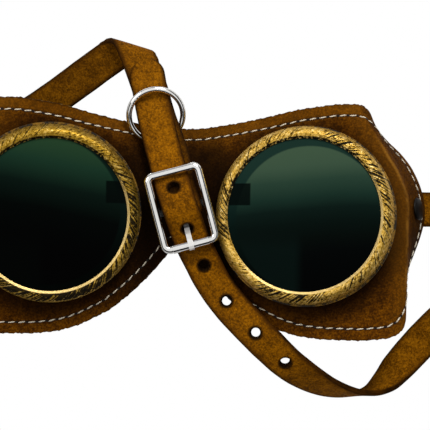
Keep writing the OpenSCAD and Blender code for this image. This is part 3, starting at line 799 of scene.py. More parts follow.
@dataclass(frozen=True)
class MaskFinish(Finish):
    """Oiled brown leather; painted shade at cups, nose and wing flaps, painted light along the creases."""

    seam: float

    def sockets(self, g: Graph) -> dict[str, object]:
        """Works out the finish; rim and crease are distances in mm stored on the mesh.

        Args:
            g: the material's graph.

        Returns: what goes into each input of the Principled BSDF.
        """
        p = g.place()
        colour, height = MASK_HIDE.paint(g, p)
        x, y, _ = g.split(p)
        cloud = g.noise(p, 55, 4, 0.6) - 0.5
        rim, crease = g.number("rim"), g.number("crease")
        # Shade round the cups and at the nose
        for cup in CUPS.values():
            dx, dy = x - cup.x * MM, y + 0.002
            r = (dx * dx + dy * dy) ** 0.5 + cloud * 0.006
            colour = g.blend(r.step(0.0385, 0.028) * 0.85, colour, "#120701")
        nose = abs(x + cloud * 0.01).step(0.031, 0.009)
        brow = nose * (y + cloud * 0.012).step(0.0275, 0.021)
        colour = g.blend(nose * 0.5 + brow * 0.42, colour, "#0e0601")
        # Painted highlight along the upper rim, dark cut edge, painted shade in the groove under the stitches
        colour = g.blend((y - rim * 0.0006).step(0.012, 0.028) * rim.step(5.2, 3.4) * 0.12, colour, "#a2660f")
        colour = g.blend(rim.step(0.7, 0.0) * 0.75, colour, "#2a1502")
        groove = abs(rim - self.seam).step(0.85, 0.1)
        colour = g.blend(groove * 0.45, colour, "#241102")
        # Painted highlight along the crease's ridge, painted light on the face before it and painted shade on the
        # flap beyond it
        ridge = abs(crease + cloud * 1.4).step(1.0, 0.0) * g.noise(p, 190, 3).step(0.32, 0.62)
        broad = (crease * -1).step(9.0, 0.5) * (1 - crease.step(0.0, 1.2))
        colour = g.blend(broad * 0.16, colour, "#8f5c16")
        colour = g.blend(ridge * y.step(0.03, 0.02) * 0.4, colour, "#a8752a")
        # Painted shade on the flap, deeper low down
        flap = crease.step(0.4, 2.6) * (0.45 + y.step(0.02, -0.012) * 0.4)
        return {
            "Base Color": g.blend(flap, colour, "#241302"),
            "Roughness": 0.7 + g.noise(p, 300, 3) * 0.2,
            "Normal": g.bump(height - groove * 0.6, 0.00034, 0.9),
            "Specular IOR Level": LEATHER_GLOSS,
        }


@dataclass(frozen=True)
class PlainHideFinish(Finish):
    """One leather all over, for the lining and for cut edges."""

    hide: Hide
    depth: float = 0.0003

    def sockets(self, g: Graph) -> dict[str, object]:
        """Works out the finish.

        Args:
            g: the material's graph.

        Returns: what goes into each input of the Principled BSDF.
        """
        p = g.place()
        colour, height = self.hide.paint(g, p, 70)
        fibre = g.noise(p, 3200, 4, 0.8)
        return {
            "Base Color": g.blend(fibre.step(0.55, 0.75) * 0.4, colour, self.hide.light),
            "Roughness": self.hide.rough,
            "Normal": g.bump(height + fibre * 0.8, self.depth),
            "Specular IOR Level": LEATHER_GLOSS,
        }


@dataclass(frozen=True)
class StrapFinish(Finish):
    """Strap leather: a worn grain side, a rough flesh side and dark fuzzy edges.

    grain_first is True if the grain side is the first half round the strap, length is the strap's in
    metres, and holes are the middles of punched holes, in this strap or in the one above, with painted
    shade in and round them. buckle is given for the strap that lies under the buckle, the other strap and
    the mask, which shade it; this shade is painted.
    """

    grain_first: bool
    length: float
    holes: Sequence[Array]
    buckle: Buckle | None = None

    def sockets(self, g: Graph) -> dict[str, object]:
        """Works out the finish.

        Args:
            g: the material's graph.

        Returns: what goes into each input of the Principled BSDF.
        """
        p = g.place()
        x, _, _ = g.split(p)
        u, v, _ = g.split(g.place("UV"))
        grain, grain_height = STRAP_GRAIN.paint(g, p, 60)
        flesh, flesh_height = STRAP_FLESH.paint(g, p, 110)
        fibre = g.noise(g.vector(u * (self.length * 900), v * 160, 0), 1.0, 4, 0.75)
        grain = g.blend(fibre.step(0.62, 0.35) * 0.35, grain, STRAP_GRAIN.dark)
        nap = g.noise(p, 2600, 4, 0.8)
        flesh = g.blend(nap.step(0.42, 0.7) * 0.45, flesh, STRAP_FLESH.light)
        first = v.step(0.415, 0.405)
        side = first if self.grain_first else 1 - first
        colour = g.blend(side, flesh, grain)
        # Edges
        off = abs((v * 2 + 0.18).fraction() - 0.5)
        ragged = off.step(0.25, 0.345) * (0.75 + g.noise(p, 900, 3) * 0.5)
        colour = g.blend(ragged, colour, "#231202")
        colour = g.blend(off.step(0.14, 0.31) * 0.55 * g.noise(p, 140, 3).step(0.3, 0.65), colour, "#4a2802")
        # Painted shade in and round the punched holes
        near = 1.0
        for spot in self.holes:
            near = g.distance(p, tuple(spot * MM)).at_most(near)
        colour = g.blend(near.step(0.003, 0.0024) * 0.85, colour, "#1a0c01")
        if self.buckle:
            along, aside = self.buckle.local(g, p)
            # Painted shade under the tip strap and on the run that passes behind the mask
            under = along.step(-0.051, -0.045) * along.step(0.0, -0.004) * abs(aside).step(0.012, 0.009)
            run = x.step(-0.01, -0.03) * x.step(-0.066, -0.052)
            colour = g.blend(under * 0.55 + run * 0.35, colour, "#1a0d02")
        height = side * grain_height + (1 - side) * (flesh_height + nap * 0.9)
        return {
            "Base Color": colour,
            "Roughness": STRAP_FLESH.rough - side * 0.26 + fibre * 0.08,
            "Normal": g.bump(height, 0.0003, 0.95),
            "Specular IOR Level": LEATHER_GLOSS,
        }


@dataclass(frozen=True)
class ThreadFinish(Finish):
    """Off-white waxed thread with its twist."""

    name: str = "thread_finish"

    def sockets(self, g: Graph) -> dict[str, object]:
        """Works out the finish.

        Args:
            g: the material's graph.

        Returns: what goes into each input of the Principled BSDF.
        """
        u, v, _ = g.split(g.place("UV"))
        strand = abs((u * 2 + v * 5).fraction() - 0.5) * 2
        colour = g.ramp(strand, [(0.0, "#8d8069"), (0.35, "#d3c8b2"), (1.0, "#efe7d6")])
        return {
            "Base Color": g.blend(g.noise(g.place(), 900, 3).step(0.4, 0.75) * 0.3, colour, "#b3a184"),
            "Roughness": 0.85,
            "Normal": g.bump(strand, 0.0001),
            "Specular IOR Level": 0.2,
        }


@dataclass(frozen=True)
class NeedleFinish(Finish):
    """Painted shade of the needle holes, on the dark dots that stand for them."""

    name: str = "needle_finish"

    def sockets(self, g: Graph) -> dict[str, object]:
        """Colour and roughness of the shade."""
        tone = g.noise(g.place(), 1500, 2)
        return {"Base Color": g.ramp(tone, [(0.3, "#060301"), (0.8, "#170c04")]), "Roughness": 1.0}


@dataclass(frozen=True)
class Polar:
    """Round coordinates about a cup's axis, inside a graph."""

    r: Wire
    cos: Wire
    sin: Wire
    up: Wire

    @classmethod
    def about(cls, g: Graph, cup: Cup) -> "Polar":
        """Works out round coordinates.

        Args:
            g: the graph.
            cup: the cup.

        Returns: radius in metres, direction, and height along the cup's axis.
        """
        axes = cup.axes()
        shifted = g.scaled(g.place(), shift=(-cup.x * MM, 0, -cup.z * MM))
        x, y, z = (g.dot(shifted, tuple(axes[:, k])) for k in range(3))
        r = (x * x + y * y) ** 0.5
        return cls(r, x / r, y / r, z)


@dataclass(frozen=True)
class BezelFinish(Finish):
    """Antique gold brushed over black, with dark strokes slanting across the band.

    A mark is a blackened place: its angle and half width in degrees, and how black it is.
    """

    side: Side
    gold: Sequence[tuple[float, str]]
    marks: Sequence[tuple[float, float, float]]

    def sockets(self, g: Graph) -> dict[str, object]:
        """Works out the finish.

        Args:
            g: the material's graph.

        Returns: what goes into each input of the Principled BSDF.
        """
        ring = Polar.about(g, CUPS[self.side])
        turn = g.math("ARCTAN2", ring.sin, ring.cos) + ring.r * 46
        cos, sin = g.math("COSINE", turn), g.math("SINE", turn)
        strokes = g.noise(g.vector(cos * 34, sin * 34, ring.r * 110), 1.0, 1.5, 0.5, 0.3)
        scrub = g.noise(g.vector(cos * 75, sin * 75, ring.r * 420), 1.0, 5, 0.75, 0.4)
        speck = g.noise(g.place(), 1100, 4, 0.7)
        marks = g.noise(g.vector(ring.cos * 2.5, ring.sin * 2.5, self.side.value * 3.0), 1.0, 2, 0.5) - 0.5
        for angle, width, strength in self.marks:
            a, b = math.radians(angle), math.radians(width)
            near = ring.cos * math.cos(a) + ring.sin * math.sin(a)
            marks = marks + near.step(math.cos(b), math.cos(b * 0.4)) * strength
        # Black: strokes on the band, flecks, the flank low down and the shade inside the lip
        band = abs(ring.r - 0.0266).step(0.0021, 0.0012)
        bold = (strokes + (speck - 0.5) * 0.25 - marks * band * 0.14).step(0.35, 0.315)
        fleck = (scrub * 0.5 + speck * 0.5 - marks * 0.018).step(0.45, 0.42)
        flank = ring.up.step(0.0062, 0.003) * (scrub * 0.5 + speck * 0.5).step(0.56, 0.47)
        lip = ring.r.step(0.0257, 0.0254)
        shade = lip * (ring.sin - ring.cos * 0.25).step(0.1, 0.6) * speck.step(0.62, 0.5)
        # Painted highlight along the lower right of the inner lip
        glint = lip * (ring.cos * 0.6 - ring.sin).step(-0.1, 0.5)
        black = (bold * 0.97 + fleck * 0.85 + flank + shade).at_most(1.0) * (1 - glint * 0.85)
        colour = g.blend(black, g.ramp(scrub * 0.55 + speck * 0.45, self.gold), "#0b0702")
        return {
            "Base Color": g.blend(glint * 0.7, colour, "#fbdc94"),
            "Roughness": 0.36 + speck * 0.16 + black * 0.3,
            "Metallic": 0.85 - black * 0.8,
            "Normal": g.bump((1 - black) * 0.6 + scrub * 0.5 + speck * 0.3, 0.0002, 0.8),
            "Specular IOR Level": 0.08,
        }


@dataclass(frozen=True)
class BaseRingFinish(Finish):
    """Dark metal with specks of gold."""

    name: str = "base_ring_finish"

    def sockets(self, g: Graph) -> dict[str, object]:
        """Works out the finish.

        Args:
            g: the material's graph.

        Returns: what goes into each input of the Principled BSDF.
        """
        speck = g.noise(g.place(), 700, 5, 0.8)
        gold = (speck * 0.7 + g.noise(g.place(), 150, 3) * 0.4).step(0.5, 0.62)
        return {
            "Base Color": g.blend(gold, "#120c05", "#9c7327"),
            "Metallic": 0.25 + gold * 0.5,
            "Roughness": 0.62 - gold * 0.15,
            "Normal": g.bump(speck, 0.0002),
        }


@dataclass(frozen=True)
class LensFinish(Finish):
    """Very dark green glass, with what lies behind it painted into its colour: pale light and shade, the
    tube's wall and the bridge strip's end.

    The painted light lifts along y and some x, between two heights in metres. wall_x and wall_y shift the
    wall's circle as seen through the glass.
    """

    side: Side
    lean: float
    lift: tuple[float, float]
    stops: Sequence[tuple[float, str]]
    wall_x: float
    wall_y: float
    wall: str
    low: str

    def sockets(self, g: Graph) -> dict[str, object]:
        """Works out the finish.

        Args:
            g: the material's graph.

        Returns: what goes into each input of the Principled BSDF.
        """
        x, y, _ = g.split(g.scaled(g.place(), shift=(-CUPS[self.side].x * MM, 0, 0)))
        # Painted light and shade seen through the glass, paler higher up
        haze = (g.noise(g.place(), 26, 2, 0.5) - 0.5) * 0.004
        lift = (y + haze + x * self.lean).step(*self.lift)
        # Painted shade towards the lower left
        corner = (x * -1).step(0.0005, 0.0045) * (y * -1).step(0.003, 0.012)
        colour = g.blend(corner * 0.6, g.ramp(lift, self.stops), self.low)
        # Painted dark wall of the tube as seen through the glass, lit like the light behind
        dx, dy = x - self.wall_x, y - self.wall_y
        tube = ((dx * dx + dy * dy) ** 0.5).step(0.0236, 0.0242)
        wall = g.ramp(lift, [(0.0, "#010302"), (0.5, "#061310"), (1.0, self.wall)])
        colour = g.blend(tube * 0.92, colour, wall)
        # Painted dark end of the bridge strip behind the glass
        inward = x * -self.side.value
        strip = inward.step(0.0181, 0.0186) * abs(y - 0.0072 + inward * 0.02).step(0.0037, 0.0034)
        return {
            "Base Color": g.blend(strip * 0.92, colour, "#030706"),
            "Roughness": 0.12 + g.noise(g.place(), 60, 3) * 0.05,
            "Specular IOR Level": 0.012,
        }


@dataclass(frozen=True)
class NickelFinish(Finish):
    """Bright nickel plate with fine scratches, and painted shade where a buckle's middle bar meets its frame."""

    buckle: Buckle | None = None
    dull: float = 0.05

    def sockets(self, g: Graph) -> dict[str, object]:
        """Works out the finish.

        Args:
            g: the material's graph.

        Returns: what goes into each input of the Principled BSDF.
        """
        p = g.place()
        smear = g.noise(p, 130, 4, 0.6)
        scratch = g.noise(g.scaled(p, (400, 2600, 900)), 1.0, 2, 0.6)
        colour = g.ramp(smear, [(0.3, "#e6e4df"), (0.7, "#fbfaf8")])
        rough = self.dull + smear * 0.07
        if self.buckle:
            along, across = (abs(way) for way in self.buckle.local(g, p))
            # Painted shade where the middle bar meets the frame, made rougher there too
            joint_shade = along.step(0.0024, 0.0014) * across.step(0.0077, 0.0069)
            colour = g.blend(joint_shade * 0.93, colour, "#0c0804")
            rough = rough + joint_shade * 0.5
        return {
            "Base Color": colour, "Metallic": 1.0, "Roughness": rough, "Normal": g.bump(scratch, 0.000012, 0.6),
        }


@dataclass(frozen=True)
class SatinFinish(Finish):
    """A plain satin finish with some wear."""

    base: str
    worn: str
    rough: float
    metallic: float = 0.0

    def sockets(self, g: Graph) -> dict[str, object]:
        """Works out the finish.

        Args:
            g: the material's graph.

        Returns: what goes into each input of the Principled BSDF.
        """
        p = g.place()
        wear = g.noise(p, 500, 4, 0.7)
        return {
            "Base Color": g.blend(wear.step(0.5, 0.72) * 0.5, self.base, self.worn),
            "Roughness": self.rough + wear * 0.15,
            "Metallic": self.metallic,
            "Normal": g.bump(g.noise(p, 1400, 3), 0.00005),
            "Specular IOR Level": 0.15,
        }


# Meshes

def only(*objects: Object) -> None:
    """Selects some objects alone and makes the first one active."""
    bpy.ops.object.select_all(action="DESELECT")
    for obj in objects:
        obj.select_set(True)
    bpy.context.view_layer.objects.active = objects[0]


def named(name: str) -> Object:
    """Takes the object that was just made and names it and its mesh."""
    obj = bpy.context.active_object
    obj.name = obj.data.name = name
    return obj


def read(obj: Object) -> Array:
    """Returns: the vertices in metres."""
    co = np.empty(len(obj.data.vertices) * 3, np.float64)
    obj.data.vertices.foreach_get("co", co)
    return co.reshape(-1, 3)


def write(obj: Object, points: Array) -> None:
    """Moves the vertices to points in mm."""
    obj.data.vertices.foreach_set("co", (points * MM).reshape(-1).astype(np.float32))
    obj.data.update()


def in_edit(obj: Object, *steps: Callable[[], object]) -> None:
    """Runs edit-mode operators on one object, with everything selected before each.

    Args:
        obj: the object.
        steps: the operators to call.
    """
    only(obj)
    bpy.ops.object.mode_set(mode="EDIT")
    for step in steps:
        bpy.ops.mesh.select_all(action="SELECT")
        step()
    bpy.ops.object.mode_set(mode="OBJECT")


def face_outwards() -> None:
    """Turns the selected faces outwards."""
    bpy.ops.mesh.normals_make_consistent(inside=False)


def modify(obj: Object, kind: str, **values: object) -> None:
    """Adds a modifier and applies it.

    Args:
        obj: the object.
        kind: the modifier's type.
        values: its settings.
    """
    only(obj)
    modifier = obj.modifiers.new(kind.lower(), kind)
    for key, value in values.items():
        setattr(modifier, key, value)
    bpy.ops.object.modifier_apply(modifier=modifier.name)


def mapped_grid(name: str, cells: tuple[int, int], place: Callable[[Array, Array], Array]) -> Object:
    """Makes a grid and bends it into a surface.

    Args:
        name: the object's name.
        cells: how many cells it has each way.
        place: turns shares from 0 to 1 into points in mm.

    Returns: the object, with its shares kept as UVs.
    """
    bpy.ops.mesh.primitive_grid_add(x_subdivisions=cells[0], y_subdivisions=cells[1], size=1, calc_uvs=True)
    obj = named(name)
    share = read(obj)[:, :2] + 0.5
    write(obj, place(share[:, 0], share[:, 1]))
    return obj


@dataclass(frozen=True)
class Punch:
    """A round tool that cuts a hole; the radius at its middle grows by flare per mm along the axis."""

    name: str
    centre: Array
    axis: Array
    radius: float
    depth: float
    flare: float = 0.0

    def tool(self, wall: Material) -> Object:
        """Makes the tool.

        Args:
            wall: material of the hole's wall.

        Returns: a cone or cylinder in its place.
        """
        low, high = ((self.radius + sign * self.flare * self.depth / 2) * MM for sign in (-1, 1))
        bpy.ops.mesh.primitive_cone_add(vertices=64, radius1=low, radius2=high, depth=self.depth * MM)
        obj = named(self.name)
        obj.rotation_mode = "QUATERNION"
        obj.rotation_quaternion = Vector(self.axis).to_track_quat("Z", "Y")
        obj.location = Vector(self.centre * MM)
        obj.data.materials.append(wall)
        return obj


def cut(obj: Object, tools: Sequence[Object], sharp: float) -> None:
    """Cuts tools out of a solid, removes them, and shades it smooth.

    Args:
        obj: the solid.
        tools: the tools.
        sharp: edges stay sharp from this angle on, in degrees.
    """
    for tool in tools:
        modify(obj, "BOOLEAN", object=tool, operation="DIFFERENCE", solver="EXACT", material_mode="TRANSFER")
        bpy.data.objects.remove(tool)
    only(obj)
    bpy.ops.object.shade_smooth_by_angle(angle=math.radians(sharp))


def copies(name: str, source: Object, places: Sequence[Spot]) -> Object:
    """Puts copies of a small piece along a path and joins them.

    Args:
        name: name of the joined object.
        source: the piece, its length along X and its top along Z.
        places: middle, direction and normal of each copy, in mm.

    Returns: the joined object.
    """
    made = []
    for centre, along, normal in places:
        x = unit(along)
        y = unit(np.cross(normal, x))
        item = source.copy()
        item.data = source.data.copy()
        bpy.context.scene.collection.objects.link(item)
        write(item, read(item) / MM @ np.stack([x, y, np.cross(x, y)]) + centre)
        made.append(item)
    only(*made)
    bpy.ops.object.join()
    joined = named(name)
    bpy.data.objects.remove(source)
    return joined


def small_ball(name: str, size: Sequence[float], cells: tuple[int, int], finish: Material) -> Object:
    """Makes a stretched ball with blunt ends, centred at the origin with its poles along X.

    Args:
        name: the object's name.
        size: its size in mm.
        cells: segments and rings.
        finish: its material.

    Returns: the object.
    """
    bpy.ops.mesh.primitive_uv_sphere_add(segments=cells[0], ring_count=cells[1], radius=0.5)
    obj = named(name)
    co = read(obj)[:, [2, 0, 1]]
    write(obj, np.sign(co) * np.abs(co * 2) ** 0.8 / 2 * np.array(size))
    obj.data.materials.append(finish)
    bpy.ops.object.shade_smooth()
    return obj


def add_piece(obj: Object, slot: str, *nodes: str) -> None:
    """Hides the CAD nodes that a piece stands for, parents the piece to the root body and logs it.

    Args:
        obj: the piece.
        slot: the record's material slot; not used.
        nodes: CAD nodes that it stands for.
    """
    if nodes:
        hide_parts(*nodes)
    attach(obj, ROOT)
    log.info("piece %s: %d faces, stands for %s", obj.name, len(obj.data.polygons), ", ".join(nodes) or "nothing")


# Sub-assemblies

@dataclass
class Mask:
    """The outer leather and the lining, each one sheet with its holes."""

    leather: Leather
    seam: float
    edge: Material
    cup_hole_r: float = 27.5
    rivet_hole_r: float = 1.75
    cup_cut: float = 40.0
    rivet_cut: float = 12.0
    fray: float = 0.11
    fray_from: float = 0.497
    sharp: float = 42.0
    outer_cells: tuple[int, int] = (250, 100)
    lining_cells: tuple[int, int] = (190, 76)
    away: float = 20.0
    wing_depth: float = 9.0

    def sheet(self, name: str, depth: float, t: float, cells: tuple[int, int], finish: Material) -> Object:
        """Makes one layer of the mask.

        Args:
            name: the object's name.
            depth: depth of its face behind the leather's face.
            t: its thickness.
            cells: cells along the mask and up the mask.
            finish: material of the faces.

        Returns: the object.
        """

        def place(a: Array, b: Array) -> Array:
            """Points of the layer's face, slightly frayed at its cut edges."""
            s = (a * 2 - 1) * self.leather.wing_end(b)
            rim = np.where(np.abs(b - 0.5) > self.fray_from, self.fray, 0)
            fray = rim * (np.sin(s * 11.3) + np.sin(s * 5.1 + depth * 9))
            return self.leather.under(s, self.leather.edge_y(s, b) + fray, depth)

        obj = mapped_grid(name, cells, place)
        obj.data.materials.append(finish)
        obj.data.materials.append(self.edge)
        modify(
            obj, "SOLIDIFY", thickness=t * MM, offset=-1.0, use_even_offset=False, use_rim=True,
            material_offset_rim=1,
        )
        in_edit(obj, face_outwards)
        tools = []
        for side, cup in CUPS.items():
            centre = np.array([cup.x, 0, cup.z])
            through = Punch(f"cut_cup_{side.word}", centre, cup.axes()[:, 2], self.cup_hole_r, self.cup_cut)
            rivet = Punch(f"cut_rivet_{side.word}", *self.leather.rivet(side), self.rivet_hole_r, self.rivet_cut)
            tools += [through.tool(self.edge), rivet.tool(self.edge)]
        cut(obj, tools, self.sharp)
        return obj

    def number(self, obj: Object) -> None:
        """Stores the distances from the cut edge and from the crease on the outer leather.

        Args:
            obj: the outer leather.
        """
        points = read(obj) / MM
        s, y = self.leather.flat_s(points), points[:, 1]
        edge = self.leather.outline()

        def to_edge(part: Array) -> Array:
            """Distance from the cut edge on the flat leather."""
            return np.min(np.hypot(part[:, None, 0] - edge[:, 0], part[:, None, 1] - edge[:, 1]), 1)

        depth = np.abs(self.leather.face(s, y)[:, 2] - points[:, 2])
        numbers = {
            "rim": by_parts(np.stack([s, y], 1), to_edge),
            "crease": np.where(depth < self.wing_depth, self.leather.crease_gap(points), self.away),
        }
        for name, values in numbers.items():
            attribute = obj.data.attributes.new(name, "FLOAT", "POINT")
            attribute.data.foreach_set("value", values.astype(np.float32))

    def build(self) -> None:
        """Makes both layers."""
        skin = self.leather
        brown = MaskFinish("mask_leather_finish", self.seam).material()
        outer = self.sheet("mask_outer", 0.0, skin.outer_t, self.outer_cells, brown)
        self.number(outer)
        add_piece(outer, "mask", "mask_leather")
        suede = PlainHideFinish("lining_finish", LINING_HIDE).material()
        depth = skin.outer_t + skin.layer_gap
        add_piece(self.sheet("mask_suede", depth, skin.lining_t, self.lining_cells, suede), "lining", "mask_lining")


@dataclass
class Stitching:
    """The thread along the mask's edge and dark dots of painted shade at its needle holes, on both faces."""

    leather: Leather
    inset: float
    pitch: float = 3.3
    length: float = 2.35
    thread: tuple[float, float] = (0.45, 0.42)
    hole: tuple[float, float, float] = (0.95, 0.8, 0.16)
    thread_cells: tuple[int, int] = (10, 8)
    hole_cells: tuple[int, int] = (8, 6)
    path_step: float = 0.4
    lean: float = 0.13
    lean_play: float = 0.07
    lift: float = 0.1
    lift_play: float = 0.05
    hole_lift: float = 0.02
    seed: int = 7

    def row(self, depth: float, sign: int) -> tuple[list[Spot], list[Spot]]:
        """Lays out the stitches of one face.

        Args:
            depth: depth of the face.
            sign: 1 where it looks the same way as the leather's face, -1 where the other way.

        Returns: places of the threads and of the needle holes.
        """
        path = self.leather.outline(self.inset, self.path_step)
        flat = np.vstack([path, path[:1]])
        points = self.leather.under(path[:, 0], path[:, 1], depth)
        far = run_length(np.vstack([points, points[:1]]))
        count = round(far[-1] / self.pitch)
        pitch = far[-1] / count
        rng = random.Random(self.seed)

        def on_path(length: float) -> tuple[Array, Array]:
            """Point and normal at a length along the path."""
            k = length % far[-1]
            point, normal = self.leather.spot(*(np.interp(k, far, flat[:, i]) for i in (0, 1)), depth)
            return point, normal * sign

        threads, holes = [], []
        for i in range(count):
            middle = (i + 0.5) * pitch
            a, b = on_path(middle - self.length / 2)[0], on_path(middle + self.length / 2)[0]
            normal, along = on_path(middle)[1], b - a
            lean = np.cross(normal, along) * (self.lean + rng.uniform(-self.lean_play, self.lean_play))
            lift = self.lift + rng.uniform(0, self.lift_play)
            threads.append(((a + b) / 2 + normal * lift, along + lean, normal))
            spot, upright = on_path(i * pitch)
            holes.append((spot + upright * self.hole_lift, along, upright))
        return threads, holes

    def build(self) -> None:
        """Makes the thread and the dark dots of painted shade at the needle holes."""
        thread, shade = ThreadFinish().material(), NeedleFinish().material()
        for word, slot, depth, sign in (("face", "mask", 0.0, 1), ("back", "lining", self.leather.back, -1)):
            threads, holes = self.row(depth, sign)
            strand = small_ball(f"strand_{word}", (self.length, *self.thread), self.thread_cells, thread)
            # Dark dots of painted shade at the needle holes
            dot = small_ball(f"dot_{word}", self.hole, self.hole_cells, shade)
            add_piece(copies(f"stitches_{word}", strand, threads), slot)
            add_piece(copies(f"needle_holes_{word}", dot, holes), slot)


@dataclass
class Strap:
    """What both straps share: a closed ribbon with worn round edges, riveted behind a wing."""

    leather: Leather
    buckle: Buckle
    inside: Material
    wing_gap: float = 1.2
    rivet_hole_r: float = 1.75
    rivet_cut: float = 8.0
    weld: float = 2e-6
    sharp: float = 55.0

    def wing_station(self, s: float, y: float, way: tuple[float, float], depth: float, t: float) -> Array:
        """A station behind the leather of a wing.

        Args:
            s: length along the leather.
            y: height.
            way: the strap's direction on the leather.
            depth: depth of its middle behind the face.
            t: its thickness.

        Returns: the station.
        """
        ahead = self.leather.spot(s + way[0], y + way[1])[0] - self.leather.spot(s - way[0], y - way[1])[0]
        point, normal = self.leather.spot(s, y, depth)
        across = unit(np.cross(normal, ahead) * (1 if s > 0 else -1))
        return np.array([*point, *across, t])

    def profile(self) -> Array:
        """The closed outline across the strap, from -1 to 1 both ways, with slightly crowned faces."""
        crown = [(a, 1.0 - 0.1 * abs(a) ** 6) for a in np.linspace(-0.93, 0.93, 10)]
        half = [*crown, (0.975, 0.74), (0.998, 0.3), (0.998, -0.3), (0.975, -0.74)]
        return np.array([*half, *((-a, -b) for a, b in half), half[0]])

    def body(self, name: str, ribbon: Ribbon, finish: Material) -> Object:
        """Builds the strap without its holes.

        Args:
            name: the object's name.
            ribbon: its rings.
            finish: its material.

        Returns: the object.
        """
        profile = self.profile()
        rings, sides = len(ribbon.run) - 1, len(profile) - 1
        corners = np.arange(sides + 1)

        def place(a: Array, b: Array) -> Array:
            """Points round and along the strap."""
            across, up = (np.interp(b * sides, corners, profile[:, k]) for k in (0, 1))
            return ribbon.point(a * rings, across, up)

        obj = mapped_grid(name, (rings, sides), place)
        obj.data.materials.append(finish)
        in_edit(
            obj, lambda: bpy.ops.mesh.remove_doubles(threshold=self.weld),
            lambda: bpy.ops.mesh.fill_holes(sides=0), face_outwards,
        )
        return obj


@dataclass
class TipStrap(Strap):
    """The strap with the round tip and its punched holes, which ends at the right wing."""

    reach: float = 50.2
    prong_reach: float = 6.5
    hole_pitch: float = 14.0
    hole_r: float = 2.0
    hole_flare: float = 0.27
    hole_cut: float = 5.0
    rivet_depth: float = 5.3

    def __post_init__(self) -> None:
        """Lays the strap out and finds its holes; the prong stands in the second."""
        b = self.buckle
        self.ribbon = Ribbon(smooth_run(self.stations()), b.width, tip=b.width / 2)
        reach = (self.ribbon.middle - b.middle) @ b.u
        first = np.argmax(reach >= self.prong_reach)
        k = (self.prong_reach - reach[first - 1]) / (reach[first] - reach[first - 1])
        prong = mix(self.ribbon.far[first - 1], self.ribbon.far[first], k)
        self.holes = [self.ribbon.spot(prong + i * self.hole_pitch) for i in range(-1, 5)]

    def stations(self) -> list[Array]:
        """Returns: stations from the round tip to the right wing."""
        b, t = self.buckle, self.buckle.tip_t
        rivet_s, rivet_y = self.leather.rivet_s, self.leather.rivet_y
        near = (
            (-self.reach, 0.2), (-self.reach + 0.5, 0.2), (-self.reach + 1.9, 0.1), (-45.8, 0), (-43, -0.2),
            (-38, -0.5), (-31, -0.9), (-24, -1), (-17.5, -1),
        )
        hump = (
            (-b.bar_reach, -0.95, 0), (-7.6, -0.85, 0.4), (-3.4, -0.6, 0.87), (0, -0.4, 1),
            (3.4, -0.1, 0.87), (7.6, 0.2, 0.4), (b.bar_reach, 0.7, 0),
        )
        free = (
            (8.1, -15.4, 23.3, 24, 0), (11, -20.8, 22.2, 29, 0), (14.6, -26, 21.8, 35, 1),
            (19.3, -31.5, 22.1, 40, 3), (24.6, -36.9, 22.8, 43, 6), (30.2, -42.3, 22.3, 44, 11),
            (36.6, -48.2, 19.6, 43, 21), (43.9, -53.3, 15.4, 40, 35), (50.9, -56.8, 11, 37, 50),
            (58.1, -58.5, 8, 30, 66), (64.4, -58, 6.7, -7, 77), (68.8, -54.9, 6.2, -56, 59),
            (73, -50.6, 5, -58, 38), (78.1, -45.2, 3.6, -57, 19), (82.8, -40.1, 3, -52, 15),
            (90, -32.2, 4.2, -52, 32), (99, -24.4, 6, -60, 65), (110, -19.4, 6.6, -75, 85),
            (123, -16.6, 6.6, -80, 88), (133.5, -10, 6.6, -85, 88), (135.5, 1.5, 6.6, -90, 88),
            (127, 10, 6.6, -90, 85), (115, 11.4, 6.2, -92, 68), (104.5, 8.2, 4.6, -95, 38),
            (97, 5, 2.4, -94, 13), (91.5, rivet_y + 0.3, 1.3, -88, 2),
        )
        out = self.leather.spot(self.leather.wing_start + self.leather.wing_round, rivet_y)[0][0]
        depth = self.leather.back + self.wing_gap + t / 2
        wing = ((rivet_s + 5, depth + 0.25), (rivet_s, depth), (rivet_s - 5.6, depth))
        return [
            *(b.station(u, c, b.sloped(b.tip_low, u), t) for u, c in near),
            *(b.station(u, c, mix(b.tip_low, b.crown, k), t) for u, c, k in hump),
            *(station(q[:3], q[3], q[4], t) for q in free),
            station((out + 2, rivet_y, 1.2), -85, 0, t),
            station((out - 3, rivet_y, 1.5), -82, 0, t),
            *(self.wing_station(s, rivet_y, (-1, 0), d, t) for s, d in wing),
        ]

    def build(self) -> None:
        """Makes the strap."""
        spots = [spot[0] for spot in self.holes]
        look = StrapFinish("tip_strap_finish", True, self.ribbon.far[-1] * MM, spots).material()
        obj = self.body("tip_strap_leather", self.ribbon, look)
        tools = []
        for i, (centre, _, normal) in enumerate(self.holes):
            flare = 0.0 if i == 1 else self.hole_flare
            up = normal * math.copysign(1, normal[2])
            tools.append(Punch(f"punch_{i}", centre, up, self.hole_r - flare, self.hole_cut, flare).tool(self.inside))
        seat = self.leather.rivet(Side.RIGHT, self.rivet_depth)
        rivet = Punch("punch_rivet", *seat, self.rivet_hole_r, self.rivet_cut)
        cut(obj, [*tools, rivet.tool(self.inside)], self.sharp)
        add_piece(obj, "strap", "tip_strap")


